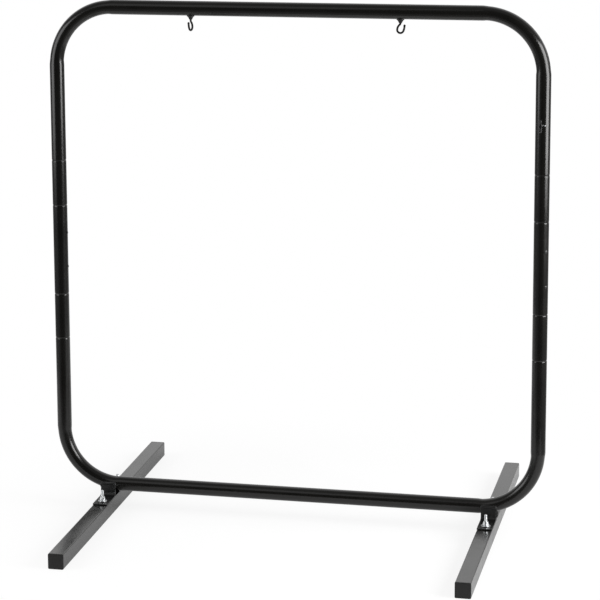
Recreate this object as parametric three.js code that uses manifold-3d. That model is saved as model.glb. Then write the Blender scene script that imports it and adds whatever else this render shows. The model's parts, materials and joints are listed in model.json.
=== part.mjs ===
// Free-standing gong stand: a rounded square of round steel tube, made of two U-bends that
// plug together half way up the uprights, standing on two bolted square-tube feet.
// Units are millimetres. X runs to the right, Y to the back and Z up. The origin lies on the
// floor, in the middle between the feet and under the frame's plane.
import * as THREE from 'three';
import { mergeVertices } from 'three/addons/utils/BufferGeometryUtils.js';
import Module from 'manifold-3d';

const wasm = await Module();
wasm.setup();

// Driving dimensions
const FRAME_WIDTH = 1264; // between the uprights' axes
const FRAME_HEIGHT = 1279; // between the top and bottom tubes' axes
const BOTTOM_AXIS_HEIGHT = 72; // bottom tube's axis above the floor
const BEND_RADIUS = 151.5; // to the tube's axis
const TUBE_DIAMETER = 38;
const TUBE_WALL = 1.5;
const TUBE_SIDES = 16;
const FOOT_INSET = 123; // feet's centre lines inside the uprights' axes
const FOOT_TUBE_LENGTH = 1002;
const FOOT_SIDE = 40;
const FOOT_WALL = 2;
const FOOT_CORNER = 3;
const CORNER_SEGMENTS = 2;
const HIDDEN_CORNER_SEGMENTS = 1;
const SEAT_GAP = 0.3; // clearance between pieces that rest on or in each other
const RUNNING_GAP = 0.08; // clearance round a shank that turns in its hole
const CUT_OVERRUN = 2; // how far every cutting body runs past what it cuts
const MERGE_TOLERANCE = 1e-4;

// Tube bends: drawn round a former, which flattens the section in the plane of the bend
const FLATTENED_SHARE = 0.94;
const BEND_RAMP_DEGREES = 3;
const OUTER_BEND_STEPS = 9;
const INNER_BEND_STEPS = 5;

// Plug joint in each upright, measured from the joint's middle
const JOINT_DROP = 5; // joint's middle below the frame's mid-height
const SLEEVE_LENGTH = 152;
const INNER_CRIMP_OFFSET = 119.5;
const OUTER_CRIMP_OFFSET = 239;
const CRIMP_WIDTH = 5;
const CRIMP_DEPTH = 0.8;
const SPIGOT_WALL = 1.5;
const SPIGOT_NOSE_OFFSET = 4;
const SPIGOT_TAIL = 12; // past the outer crimp
const BUTTON_OFFSET = 45.5;
const BUTTON_RADIUS = 4;
const BUTTON_PROUD = 1.8;
const BUTTON_DOME = 1.2;
const SPRING_THICKNESS = 0.8;
const SPRING_WIDTH = 8;
const SPRING_ARM = 40; // from the button's axis to the bow
const SPRING_TAIL = 6;
const BUTTON_AZIMUTH = { left: 83, right: 47 }; // degrees from the front towards +X

// Feet: end caps
const CAP_FLANGE = 3;
const CAP_CHAMFER = 0.8;
const CAP_PLUG_LENGTH = 16;
const CAP_PLUG_WALL = 1.8;
const CAP_CORE_INSET = 1.6; // plug core inside the fins
const CAP_FIN_COUNT = 2;
const CAP_FIN_THICKNESS = 1.6;

// Brackets: bent plates welded to the front and back of the bottom tube
const PLATE_THICKNESS = 3;
const PLATE_WIDTH = 40;
const PLATE_ABOVE_AXIS = 4;
const PLATE_INNER_BEND = 9;
const FLANGE_REACH = 102; // front edge from the frame's plane
const FLANGE_CORNER = 3;
const BEAD_HEIGHT = 3.2;
const BEAD_ROOT = 1;
const BEAD_INSET = 3; // stops short of the plate's sides
const BOLT_REACH = 75; // from the frame's plane

// Carriage bolts, washers and wing nuts
const BOLT_RADIUS = 4;
const BOLT_LENGTH = 35; // above the foot's top wall, from its inside
const BOLT_HOLE_RADIUS = 4.5;
const BOLT_POINT = 1;
const NECK_SIDE = 8;
const HEAD_RADIUS = 10;
const HEAD_HEIGHT = 4.2;
const ACCESS_HOLE_RADIUS = 11.5;
const WASHER_RADIUS = 12;
const WASHER_THICKNESS = 2;
const WING_NUT = {
  hubRadius: 8,
  hubTopRadius: 6.2,
  hubHeight: 9.5,
  bore: true,
  lobeRadius: 6.2,
  lobeReach: 13,
  lobeHeight: 13.8,
  wingRoot: 5,
  wingFoot: 1.5,
  wingThickness: 3.6,
  recessRadius: 3.9,
  recessDepth: 0.8,
  sides: 12,
};
const WING_ANGLE = {
  left: { front: 293, rear: 100 },
  right: { front: 278, rear: 75 },
}; // degrees of one wing round the bolt, from +X

// Hooks under the top tube
const HOOK_SPACING = 543;
const ROD_RADIUS = 2.65;
const SHANK_TOP = 11.5; // below the top tube's axis
const NECK_START = 29.3;
const NECK_BEND = 31.2;
const SHOULDER_REACH = 2.2; // end of the neck's bend, beside the shank's axis
const SHOULDER_DEPTH = 33.1;
const BACK_REACH = 8.1; // back of the hook, beside the shank's axis
const BACK_BEND = 38.6;
const LOOP_RADIUS = 7.9;
const LOOP_DEPTH = 46.1; // loop's centre below the tube's axis
const LOOP_EXIT_DEGREES = 300;
const TIP_BEND_REACH = 9.6;
const TIP_BEND_DEPTH = 49.5;
const TIP_REACH = 10.5;
const TIP_DEPTH = 35.2;
const TIP_RADIUS = 3.1;
const ROD_SIDES = 8;
const HOOK_STEPS = 22;
const HOOK_ANGLE = { left: -108, right: 0 }; // degrees that the tip points to, from +X
const HOOK_DROP = { left: 2.5, right: 0 }; // the left hook is screwed in less far
const FERRULE_RIM_RADIUS = 10;
const FERRULE_NECK_WALL = 0.9;
const FERRULE_LENGTH = 8.7; // below the rim
const FERRULE_RIM_DEPTH = 20.3; // rim's lower edge below the tube's axis
const FERRULE_SIDES = 16;
const FERRULE_STEPS = 4;
const HEXAGON = 6;
const HOOK_NUT_FLATS = 8;
const HOOK_NUT_HEIGHT = 4;
const HOOK_NUT_LIFT = 0.9; // off the lowest line of the tube's bore

// Wing knob on the right upright, with its threaded insert and the insert's rivet
const KNOB_ABOVE_JOINT = 367;
const KNOB_AZIMUTH = -6; // degrees from the front towards +X
const KNOB_THREAD_RADIUS = 2.7;
const KNOB_THREAD_LENGTH = 14;
const KNOB = {
  hubRadius: 5,
  hubTopRadius: 4.4,
  hubHeight: 11,
  lobeRadius: 4.6,
  lobeReach: 12.4,
  lobeHeight: 8.6,
  wingRoot: 3.4,
  wingFoot: 2.4,
  wingThickness: 6.4,
  sides: 12,
};
const INSERT_FLANGE_RADIUS = 4.8;
const INSERT_FLANGE_THICKNESS = 1.2;
const INSERT_BODY_RADIUS = 4.1;
const INSERT_BODY_LENGTH = 12;
const RIVET_AZIMUTH = 20;
const RIVET_HEAD_RADIUS = 2.6;
const RIVET_HEAD_HEIGHT = 2.2;
const RIVET_SHANK_RADIUS = 1.6;
const RIVET_TAIL_RADIUS = 2.4;
const RIVET_TAIL_LENGTH = 3;

// Sizes that follow from the driving dimensions
const TUBE_RADIUS = TUBE_DIAMETER / 2;
const BORE_RADIUS = TUBE_RADIUS - TUBE_WALL;
const SPIGOT_RADIUS = BORE_RADIUS - SEAT_GAP;
const SPIGOT_BORE_RADIUS = SPIGOT_RADIUS - SPIGOT_WALL;
const TOP_AXIS_HEIGHT = BOTTOM_AXIS_HEIGHT + FRAME_HEIGHT;
const JOINT_HEIGHT = BOTTOM_AXIS_HEIGHT + FRAME_HEIGHT / 2 - JOINT_DROP;
const LEG_END_OFFSET = SLEEVE_LENGTH / 2 + SEAT_GAP;
const KNOB_HEIGHT = JOINT_HEIGHT + KNOB_ABOVE_JOINT;
const FOOT_X = FRAME_WIDTH / 2 - FOOT_INSET;
const UPPER_LEG = TOP_AXIS_HEIGHT - BEND_RADIUS - JOINT_HEIGHT - LEG_END_OFFSET;
const LOWER_LEG = JOINT_HEIGHT - BOTTOM_AXIS_HEIGHT - BEND_RADIUS - LEG_END_OFFSET;
const PLATE_UNDERSIDE = FOOT_SIDE + SEAT_GAP;
const PLATE_BACK = TUBE_RADIUS + SEAT_GAP;
const PLATE_TOP = BOTTOM_AXIS_HEIGHT + PLATE_ABOVE_AXIS;
const WASHER_BASE = PLATE_UNDERSIDE + PLATE_THICKNESS + SEAT_GAP;
const NUT_BASE = WASHER_BASE + WASHER_THICKNESS + SEAT_GAP;
const SIDES = { left: -1, right: 1 };
const ENDS = { front: -1, rear: 1 };
const LEVELS = { upper: 1, lower: -1 };

const COLORS = {
  tube: { color: '#1b1b1a', roughness: 0.25, metalness: 0 },
  foot: { color: '#202020', roughness: 0.4, metalness: 0 },
  plate: { color: '#141414', roughness: 0.25, metalness: 0 },
  zinc: { color: '#c9cccd', roughness: 0.3, metalness: 1 },
  steel: { color: '#8f9294', roughness: 0.4, metalness: 1 },
  plastic: { color: '#161616', roughness: 0.5, metalness: 0 },
};

// Solids and meshes

function isOutward(position, index) {
  let volume = 0;
  const a = new THREE.Vector3();
  const b = new THREE.Vector3();
  const c = new THREE.Vector3();
  for (let i = 0; i < index.length; i += 3) {
    a.fromBufferAttribute(position, index[i]);
    b.fromBufferAttribute(position, index[i + 1]);
    c.fromBufferAttribute(position, index[i + 2]);
    volume += a.dot(b.cross(c));
  }
  return volume > 0;
}

function toSolid(geometry) {
  const bare = geometry.clone();
  bare.deleteAttribute('normal');
  bare.deleteAttribute('uv');
  const merged = mergeVertices(bare, MERGE_TOLERANCE);
  const source = merged.getIndex().array;
  const kept = [];
  for (let i = 0; i < source.length; i += 3) {
    const [a, b, c] = [source[i], source[i + 1], source[i + 2]];
    if (a !== b && b !== c && c !== a) kept.push(a, b, c);
  }
  const position = merged.getAttribute('position');
  if (!isOutward(position, kept)) kept.reverse();
  return new wasm.Manifold(new wasm.Mesh({
    numProp: 3,
    vertProperties: new Float32Array(position.array),
    triVerts: new Uint32Array(kept),
  }));
}

function toGeometry(solid) {
  const mesh = solid.getMesh();
  const geometry = new THREE.BufferGeometry();
  geometry.setAttribute('position', new THREE.BufferAttribute(new Float32Array(mesh.vertProperties), 3));
  geometry.setIndex(Array.from(mesh.triVerts));
  geometry.computeVertexNormals();
  return geometry;
}

function addPiece(parent, name, solid, look) {
  const mesh = new THREE.Mesh(toGeometry(solid), new THREE.MeshStandardMaterial(look));
  mesh.name = name;
  parent.add(mesh);
  return mesh;
}

// A body of revolution about Z, from [radius, height] pairs
function turned(profile, sides) {
  const geometry = new THREE.LatheGeometry(profile.map(([r, z]) => new THREE.Vector2(r, z)), sides);
  return geometry.rotateX(Math.PI / 2);
}

function cylinder(radius, bottom, top, sides = TUBE_SIDES) {
  return toSolid(turned([[0, bottom], [radius, bottom], [radius, top], [0, top]], sides));
}

// A hollow turned body, from its outer and inner [radius, height] pairs, both from bottom to top
function turnedShell(outer, inner, sides = TUBE_SIDES) {
  return toSolid(turned([...outer, ...inner.slice().reverse(), outer[0]], sides));
}

function block(width, depth, height, x, y, z) {
  return toSolid(new THREE.BoxGeometry(width, depth, height).translate(x, y, z));
}

// An outline drawn in X and Z, extruded by a thickness that is centred on Y
function extrudedAcross(shape, thickness, curveSegments) {
  const geometry = new THREE.ExtrudeGeometry(shape, { depth: thickness, bevelEnabled: false, curveSegments });
  return toSolid(geometry.rotateX(Math.PI / 2).translate(0, thickness / 2, 0));
}

function placed(geometryOrSolid, matrix) {
  const geometry = toGeometry(geometryOrSolid);
  geometry.applyMatrix4(matrix);
  return toSolid(geometry);
}

// Radius of a many-sided bore whose flats clear a round of the given radius
function boreRound(radius, gap, sides) {
  return (radius + gap) / Math.cos(Math.PI / sides);
}

function turnZ(degrees) {
  return new THREE.Matrix4().makeRotationZ(THREE.MathUtils.degToRad(degrees));
}

// Turns local +X to a direction given in degrees from the front (-Y) towards +X
function facing(azimuth) {
  return THREE.MathUtils.degToRad(azimuth - 90);
}

// Frame tubes

// Stations along a U that opens downwards, from the left leg's end to the right leg's end.
// Its top run's axis lies on the X axis. Each has a place, a direction and the share of the
// radius that is left in the plane of the bend.
function frameStations(legLength, bendSteps, crimpsFromEnd) {
  const half = FRAME_WIDTH / 2;
  const legs = [{ along: 0, dip: 0 }];
  for (const crimp of crimpsFromEnd) {
    legs.push({ along: crimp - CRIMP_WIDTH / 2, dip: 0 });
    legs.push({ along: crimp, dip: CRIMP_DEPTH });
    legs.push({ along: crimp + CRIMP_WIDTH / 2, dip: 0 });
  }
  const left = legs.map(({ along, dip }) => ({
    x: -half, z: along - legLength - BEND_RADIUS, angle: 90, share: 1, dip,
  }));
  const last = 90 - BEND_RAMP_DEGREES;
  left.push({ x: -half, z: -BEND_RADIUS, angle: 90, share: 1, dip: 0 });
  for (let k = 0; k <= bendSteps; k += 1) {
    const turn = BEND_RAMP_DEGREES + (k / bendSteps) * (last - BEND_RAMP_DEGREES);
    left.push(bendStation(turn, FLATTENED_SHARE));
  }
  left.push(bendStation(90, 1));
  const right = left.slice().reverse().map((s) => ({ ...s, x: -s.x, angle: -s.angle }));
  return [...left, ...right];
}

function bendStation(turn, share) {
  const t = THREE.MathUtils.degToRad(turn);
  return {
    x: -FRAME_WIDTH / 2 + BEND_RADIUS * (1 - Math.cos(t)),
    z: -BEND_RADIUS * (1 - Math.sin(t)),
    angle: 90 - turn,
    share,
    dip: 0,
  };
}

function ringAt(station, radius) {
  const t = THREE.MathUtils.degToRad(station.angle);
  const inPlane = (radius - station.dip) * station.share;
  const across = radius - station.dip;
  const points = [];
  for (let k = 0; k < TUBE_SIDES; k += 1) {
    const a = (2 * Math.PI * k) / TUBE_SIDES;
    const out = inPlane * Math.cos(a);
    points.push(new THREE.Vector3(
      station.x - out * Math.sin(t),
      across * Math.sin(a),
      station.z + out * Math.cos(t),
    ));
  }
  return points;
}

// Joins rings of points into a closed skin: round the outside, across the far end, back along
// the inside and across the near end. Without inner rings the ends are closed by fans.
function loft(outerRings, innerRings) {
  const rings = innerRings ? [...outerRings, ...innerRings.slice().reverse()] : outerRings;
  const points = rings.flat();
  const index = [];
  const bands = innerRings ? rings.length : rings.length - 1;
  for (let i = 0; i < bands; i += 1) {
    const from = i * TUBE_SIDES;
    const to = ((i + 1) % rings.length) * TUBE_SIDES;
    for (let k = 0; k < TUBE_SIDES; k += 1) {
      const next = (k + 1) % TUBE_SIDES;
      index.push(from + k, to + k, from + next, from + next, to + k, to + next);
    }
  }
  if (!innerRings) {
    const end = (rings.length - 1) * TUBE_SIDES;
    for (let k = 1; k < TUBE_SIDES - 1; k += 1) {
      index.push(0, k, k + 1, end, end + k + 1, end + k);
    }
  }
  const geometry = new THREE.BufferGeometry().setFromPoints(points);
  geometry.setIndex(index);
  return toSolid(geometry);
}

function bentTube(legLength) {
  const crimps = [
    INNER_CRIMP_OFFSET - LEG_END_OFFSET,
    OUTER_CRIMP_OFFSET - LEG_END_OFFSET,
  ];
  const outer = frameStations(legLength, OUTER_BEND_STEPS, crimps);
  const inner = frameStations(legLength, INNER_BEND_STEPS, crimps);
  return loft(outer.map((s) => ringAt(s, TUBE_RADIUS)), inner.map((s) => ringAt(s, BORE_RADIUS)));
}

// The space that the bent tube takes, with a clearance all round
function bentTubeSpace(legLength) {
  const stations = frameStations(legLength, OUTER_BEND_STEPS, []);
  return loft(stations.map((s) => ringAt(s, TUBE_RADIUS + SEAT_GAP)));
}

// A cutter along local +X at a height, turned to face an azimuth round a vertical tube
function radialHole(radius, from, to, height, azimuth) {
  const geometry = new THREE.CylinderGeometry(radius, radius, to - from, TUBE_SIDES);
  geometry.rotateZ(Math.PI / 2).translate((from + to) / 2, 0, height).rotateZ(facing(azimuth));
  return toSolid(geometry);
}

function makeUpperFrame() {
  let tube = bentTube(UPPER_LEG);
  for (const side of Object.values(SIDES)) {
    const radius = boreRound(ROD_RADIUS, RUNNING_GAP, FERRULE_SIDES);
    const hole = new THREE.CylinderGeometry(radius, radius, TUBE_RADIUS, FERRULE_SIDES);
    hole.rotateX(Math.PI / 2).translate(side * HOOK_SPACING / 2, 0, -TUBE_RADIUS);
    tube = tube.subtract(toSolid(hole));
  }
  const uprightX = FRAME_WIDTH / 2;
  const level = KNOB_HEIGHT - TOP_AXIS_HEIGHT;
  const inside = BORE_RADIUS - CUT_OVERRUN;
  const outside = TUBE_RADIUS + CUT_OVERRUN;
  const holes = [
    [INSERT_BODY_RADIUS + SEAT_GAP, KNOB_AZIMUTH],
    [RIVET_SHANK_RADIUS + SEAT_GAP, RIVET_AZIMUTH],
  ];
  for (const [radius, azimuth] of holes) {
    const hole = radialHole(radius, inside, outside, level, azimuth);
    tube = tube.subtract(placed(hole, new THREE.Matrix4().makeTranslation(uprightX, 0, 0)));
  }
  return tube;
}

// Plug joints

function makeSleeve(azimuth) {
  const half = SLEEVE_LENGTH / 2;
  let sleeve = turnedShell(
    [[TUBE_RADIUS, -half], [TUBE_RADIUS, half]],
    [[BORE_RADIUS, -half], [BORE_RADIUS, half]],
  );
  for (const level of [-BUTTON_OFFSET, BUTTON_OFFSET]) {
    const radius = BUTTON_RADIUS + SEAT_GAP;
    const hole = radialHole(radius, BORE_RADIUS - CUT_OVERRUN, TUBE_RADIUS + CUT_OVERRUN, level, azimuth);
    sleeve = sleeve.subtract(hole);
  }
  return sleeve;
}

// A spigot from the joint's middle outwards, upwards for up = 1 and downwards for up = -1
function makeSpigot(azimuth, up) {
  const far = OUTER_CRIMP_OFFSET + SPIGOT_TAIL;
  const outer = [[SPIGOT_RADIUS, up * SPIGOT_NOSE_OFFSET]];
  for (const crimp of [INNER_CRIMP_OFFSET, OUTER_CRIMP_OFFSET]) {
    outer.push([SPIGOT_RADIUS, up * (crimp - CRIMP_WIDTH / 2)]);
    outer.push([SPIGOT_RADIUS - CRIMP_DEPTH, up * crimp]);
    outer.push([SPIGOT_RADIUS, up * (crimp + CRIMP_WIDTH / 2)]);
  }
  outer.push([SPIGOT_RADIUS, up * far]);
  const inner = [[SPIGOT_BORE_RADIUS, up * SPIGOT_NOSE_OFFSET], [SPIGOT_BORE_RADIUS, up * far]];
  const from = SPIGOT_BORE_RADIUS - CUT_OVERRUN;
  const to = SPIGOT_RADIUS + CUT_OVERRUN;
  const hole = radialHole(BUTTON_RADIUS + SEAT_GAP, from, to, up * BUTTON_OFFSET, azimuth);
  return turnedShell(outer, inner).subtract(hole);
}

// How far out a spring strip's outer face can lie in the spigot's bore, whose sides are flat
function springSeat() {
  const reach = SPIGOT_BORE_RADIUS * Math.cos(Math.PI / TUBE_SIDES) - SEAT_GAP;
  return Math.sqrt(reach ** 2 - (SPRING_WIDTH / 2) ** 2);
}

// Dome-headed button on its spring arm. Local +X points outwards through the tube.
function makeButton() {
  const seat = springSeat();
  const tip = TUBE_RADIUS + BUTTON_PROUD;
  const shoulder = tip - BUTTON_DOME;
  const root = seat - SPRING_THICKNESS / 2;
  const profile = [[0, root], [BUTTON_RADIUS, root], [BUTTON_RADIUS, shoulder]];
  const domeSteps = 3;
  for (let k = 1; k <= domeSteps; k += 1) {
    const t = (Math.PI / 2) * (k / domeSteps);
    profile.push([BUTTON_RADIUS * Math.cos(t), shoulder + BUTTON_DOME * Math.sin(t)]);
  }
  const button = turned(profile, FERRULE_SIDES).rotateY(Math.PI / 2);
  const length = SPRING_ARM + SPRING_TAIL;
  const arm = block(
    SPRING_THICKNESS, SPRING_WIDTH, length,
    seat - SPRING_THICKNESS / 2, 0, length / 2 - SPRING_TAIL,
  );
  return toSolid(button).add(arm);
}

// Bow and back leg of the spring clip, which presses on the far side of the spigot's bore
function makeSpring() {
  const outer = springSeat();
  const inner = outer - SPRING_THICKNESS;
  const bowHeight = SPRING_ARM + SEAT_GAP;
  const shape = new THREE.Shape();
  shape.moveTo(outer, bowHeight);
  shape.absarc(0, bowHeight, outer, 0, Math.PI, false);
  shape.lineTo(-outer, -SPRING_TAIL);
  shape.lineTo(-inner, -SPRING_TAIL);
  shape.lineTo(-inner, bowHeight);
  shape.absarc(0, bowHeight, inner, Math.PI, 0, true);
  return extrudedAcross(shape, SPRING_WIDTH, 5);
}

function addJoint(parent, sideName) {
  const joint = new THREE.Group();
  joint.position.set(SIDES[sideName] * FRAME_WIDTH / 2, 0, JOINT_HEIGHT);
  parent.add(joint);
  const azimuth = BUTTON_AZIMUTH[sideName];
  addPiece(joint, `${sideName}_joint_sleeve`, makeSleeve(azimuth), COLORS.tube);
  for (const [levelName, up] of Object.entries(LEVELS)) {
    addPiece(joint, `${sideName}_${levelName}_spigot`, makeSpigot(azimuth, up), COLORS.steel);
    const level = new THREE.Group();
    level.position.z = up * BUTTON_OFFSET;
    level.rotation.z = facing(azimuth);
    joint.add(level);
    // The lower clip is turned over about the button's own axis
    const clip = new THREE.Group();
    clip.rotation.x = up > 0 ? 0 : Math.PI;
    level.add(clip);
    addPiece(clip, `${sideName}_${levelName}_snap_button`, makeButton(), COLORS.zinc);
    addPiece(clip, `${sideName}_${levelName}_button_spring`, makeSpring(), COLORS.steel);
  }
}

// Feet

function roundedSquare(side, corner) {
  const h = side / 2;
  const s = new THREE.Shape();
  s.moveTo(h, -h + corner);
  s.lineTo(h, h - corner);
  s.absarc(h - corner, h - corner, corner, 0, Math.PI / 2, false);
  s.lineTo(-h + corner, h);
  s.absarc(-h + corner, h - corner, corner, Math.PI / 2, Math.PI, false);
  s.lineTo(-h, -h + corner);
  s.absarc(-h + corner, -h + corner, corner, Math.PI, 1.5 * Math.PI, false);
  s.lineTo(h - corner, -h);
  s.absarc(h - corner, -h + corner, corner, 1.5 * Math.PI, 2 * Math.PI, false);
  return s;
}

// A bar of rounded square section along Y, between two places on Y
function squareBar(side, corner, from, to, curveSegments = CORNER_SEGMENTS) {
  const geometry = new THREE.ExtrudeGeometry(roundedSquare(side, corner), {
    depth: to - from, bevelEnabled: false, curveSegments,
  });
  return toSolid(geometry.rotateX(Math.PI / 2).translate(0, to, 0));
}

// Square tube with a square hole for each bolt's neck and, under it, a hole to pass the head
function makeFootTube() {
  const end = FOOT_TUBE_LENGTH / 2;
  const boreCorner = Math.max(FOOT_CORNER - FOOT_WALL, FOOT_WALL / 2);
  const bore = squareBar(FOOT_SIDE - 2 * FOOT_WALL, boreCorner, -end - CUT_OVERRUN, end + CUT_OVERRUN);
  let tube = squareBar(FOOT_SIDE, FOOT_CORNER, -end, end).subtract(bore);
  const neckHole = NECK_SIDE + 2 * SEAT_GAP;
  const wallMiddle = FOOT_SIDE / 2 - FOOT_WALL / 2;
  const cut = FOOT_WALL + 2 * CUT_OVERRUN;
  for (const side of Object.values(ENDS)) {
    const y = side * BOLT_REACH;
    tube = tube.subtract(block(neckHole, neckHole, cut, 0, y, wallMiddle));
    const access = cylinder(ACCESS_HOLE_RADIUS, -wallMiddle - cut / 2, -wallMiddle + cut / 2);
    tube = tube.subtract(access.translate([0, y, 0]));
  }
  return tube;
}

// Plastic insert cap: a flange as large as the tube, and a finned hollow plug. Local -Y is outwards.
function makeEndCap() {
  const finSide = FOOT_SIDE - 2 * FOOT_WALL - 2 * SEAT_GAP;
  const coreSide = finSide - 2 * CAP_CORE_INSET;
  const boreSide = coreSide - 2 * CAP_PLUG_WALL;
  const corner = FOOT_WALL / 2;
  let cap = squareBar(FOOT_SIDE, FOOT_CORNER, CAP_CHAMFER - CAP_FLANGE, 0);
  cap = cap.add(capFace());
  const few = HIDDEN_CORNER_SEGMENTS;
  cap = cap.add(squareBar(coreSide, corner, -CAP_FLANGE / 2, CAP_PLUG_LENGTH, few));
  const pitch = CAP_PLUG_LENGTH / CAP_FIN_COUNT;
  for (let k = 0; k < CAP_FIN_COUNT; k += 1) {
    const y = pitch * (k + 1) - CAP_FIN_THICKNESS;
    const [from, to] = [y - CAP_FIN_THICKNESS / 2, y + CAP_FIN_THICKNESS / 2];
    cap = cap.add(squareBar(finSide, corner, from, to, few));
  }
  return cap.subtract(squareBar(boreSide, corner, 0, CAP_PLUG_LENGTH + CUT_OVERRUN, few));
}

// The flange's outer layer, with its edge chamfered all round
function capFace() {
  const geometry = new THREE.ExtrudeGeometry(roundedSquare(FOOT_SIDE, FOOT_CORNER), {
    depth: CAP_CHAMFER, bevelEnabled: false, curveSegments: CORNER_SEGMENTS,
  });
  const position = geometry.getAttribute('position');
  const inset = (FOOT_SIDE - 2 * CAP_CHAMFER) / FOOT_SIDE;
  for (let i = 0; i < position.count; i += 1) {
    if (position.getZ(i) > CAP_CHAMFER / 2) {
      position.setX(i, position.getX(i) * inset);
      position.setY(i, position.getY(i) * inset);
    }
  }
  return toSolid(geometry.rotateX(Math.PI / 2).translate(0, CAP_CHAMFER - CAP_FLANGE, 0));
}

function addFoot(parent, sideName) {
  const foot = new THREE.Group();
  foot.position.set(SIDES[sideName] * FOOT_X, 0, 0);
  parent.add(foot);
  const tube = addPiece(foot, `${sideName}_foot_tube`, makeFootTube(), COLORS.foot);
  tube.position.z = FOOT_SIDE / 2;
  for (const [endName, end] of Object.entries(ENDS)) {
    const cap = addPiece(foot, `${sideName}_${endName}_end_cap`, makeEndCap(), COLORS.plastic);
    cap.rotation.z = end < 0 ? 0 : Math.PI;
    cap.position.set(0, end * (FOOT_TUBE_LENGTH / 2 + SEAT_GAP), FOOT_SIDE / 2);
    addFastening(foot, sideName, endName);
  }
}

// Brackets and fasteners

// Front bracket about the foot's centre line, in the stand's own frame. The rear one is turned round.
function makeBracket(tubeSpace) {
  const outerBend = PLATE_INNER_BEND + PLATE_THICKNESS;
  const front = -(PLATE_BACK + PLATE_THICKNESS);
  const top = PLATE_UNDERSIDE + PLATE_THICKNESS;
  const shape = new THREE.Shape();
  shape.moveTo(-PLATE_BACK, PLATE_TOP);
  shape.lineTo(front, PLATE_TOP);
  shape.lineTo(front, top + PLATE_INNER_BEND);
  shape.absarc(front - PLATE_INNER_BEND, top + PLATE_INNER_BEND, PLATE_INNER_BEND, 0, -Math.PI / 2, true);
  shape.lineTo(-FLANGE_REACH, top);
  shape.lineTo(-FLANGE_REACH, PLATE_UNDERSIDE);
  shape.lineTo(-PLATE_BACK - outerBend, PLATE_UNDERSIDE);
  shape.absarc(-PLATE_BACK - outerBend, PLATE_UNDERSIDE + outerBend, outerBend, -Math.PI / 2, 0, false);
  const bead = new THREE.Shape();
  bead.moveTo(front, PLATE_TOP - BEAD_ROOT);
  bead.lineTo(front, PLATE_TOP);
  bead.lineTo(-PLATE_BACK + PLATE_THICKNESS, PLATE_TOP + BEAD_HEIGHT + PLATE_THICKNESS);
  bead.lineTo(-PLATE_BACK, PLATE_TOP - BEAD_ROOT);
  const weld = alongX(bead, PLATE_WIDTH - 2 * BEAD_INSET, 1).subtract(tubeSpace);
  const hole = cylinder(BOLT_HOLE_RADIUS, PLATE_UNDERSIDE - CUT_OVERRUN, top + CUT_OVERRUN, FERRULE_SIDES);
  return alongX(shape, PLATE_WIDTH, 4)
    .intersect(flangePlan())
    .add(weld)
    .subtract(hole.translate([0, -BOLT_REACH, 0]));
}

// An outline drawn in Y and Z, extruded by a width that is centred on X
function alongX(shape, width, curveSegments) {
  const geometry = new THREE.ExtrudeGeometry(shape, { depth: width, bevelEnabled: false, curveSegments });
  const axes = new THREE.Matrix4().makeBasis(
    new THREE.Vector3(0, 1, 0),
    new THREE.Vector3(0, 0, 1),
    new THREE.Vector3(1, 0, 0),
  );
  return toSolid(geometry.applyMatrix4(axes).translate(-width / 2, 0, 0));
}

// The bracket seen from above: square at the tube, with rounded corners at the flange's edge
function flangePlan() {
  const w = PLATE_WIDTH / 2;
  const plan = new THREE.Shape();
  plan.moveTo(-w, 0);
  plan.lineTo(-w, -FLANGE_REACH + FLANGE_CORNER);
  plan.absarc(-w + FLANGE_CORNER, -FLANGE_REACH + FLANGE_CORNER, FLANGE_CORNER, Math.PI, 1.5 * Math.PI, false);
  plan.lineTo(w - FLANGE_CORNER, -FLANGE_REACH);
  plan.absarc(w - FLANGE_CORNER, -FLANGE_REACH + FLANGE_CORNER, FLANGE_CORNER, 1.5 * Math.PI, 2 * Math.PI, false);
  plan.lineTo(w, 0);
  const geometry = new THREE.ExtrudeGeometry(plan, {
    depth: PLATE_TOP, bevelEnabled: false, curveSegments: CORNER_SEGMENTS,
  });
  return toSolid(geometry.translate(0, 0, CUT_OVERRUN));
}

// Carriage bolt: domed head inside the foot, square neck in its top wall, shank upwards
function makeBolt() {
  const seat = FOOT_SIDE - FOOT_WALL - SEAT_GAP;
  const top = FOOT_SIDE - FOOT_WALL + BOLT_LENGTH;
  const dome = [[0, seat - HEAD_HEIGHT]];
  const domeSteps = 3;
  for (let k = 1; k <= domeSteps; k += 1) {
    const t = (Math.PI / 2) * (k / domeSteps);
    dome.push([HEAD_RADIUS * Math.sin(t), seat - HEAD_HEIGHT * Math.cos(t)]);
  }
  const profile = [
    ...dome,
    [BOLT_RADIUS, seat],
    [BOLT_RADIUS, top - BOLT_POINT],
    [BOLT_RADIUS - BOLT_POINT, top],
    [0, top],
  ];
  const neckTop = FOOT_SIDE;
  const neckRoot = seat - HEAD_HEIGHT / 2;
  const neck = block(NECK_SIDE, NECK_SIDE, neckTop - neckRoot, 0, 0, (neckTop + neckRoot) / 2);
  return toSolid(turned(profile, WING_NUT.sides)).add(neck);
}

function makeWasher() {
  return turnedShell(
    [[WASHER_RADIUS, 0], [WASHER_RADIUS, WASHER_THICKNESS]],
    [[BOLT_RADIUS + SEAT_GAP, 0], [BOLT_RADIUS + SEAT_GAP, WASHER_THICKNESS]],
    FERRULE_SIDES,
  );
}

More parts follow.
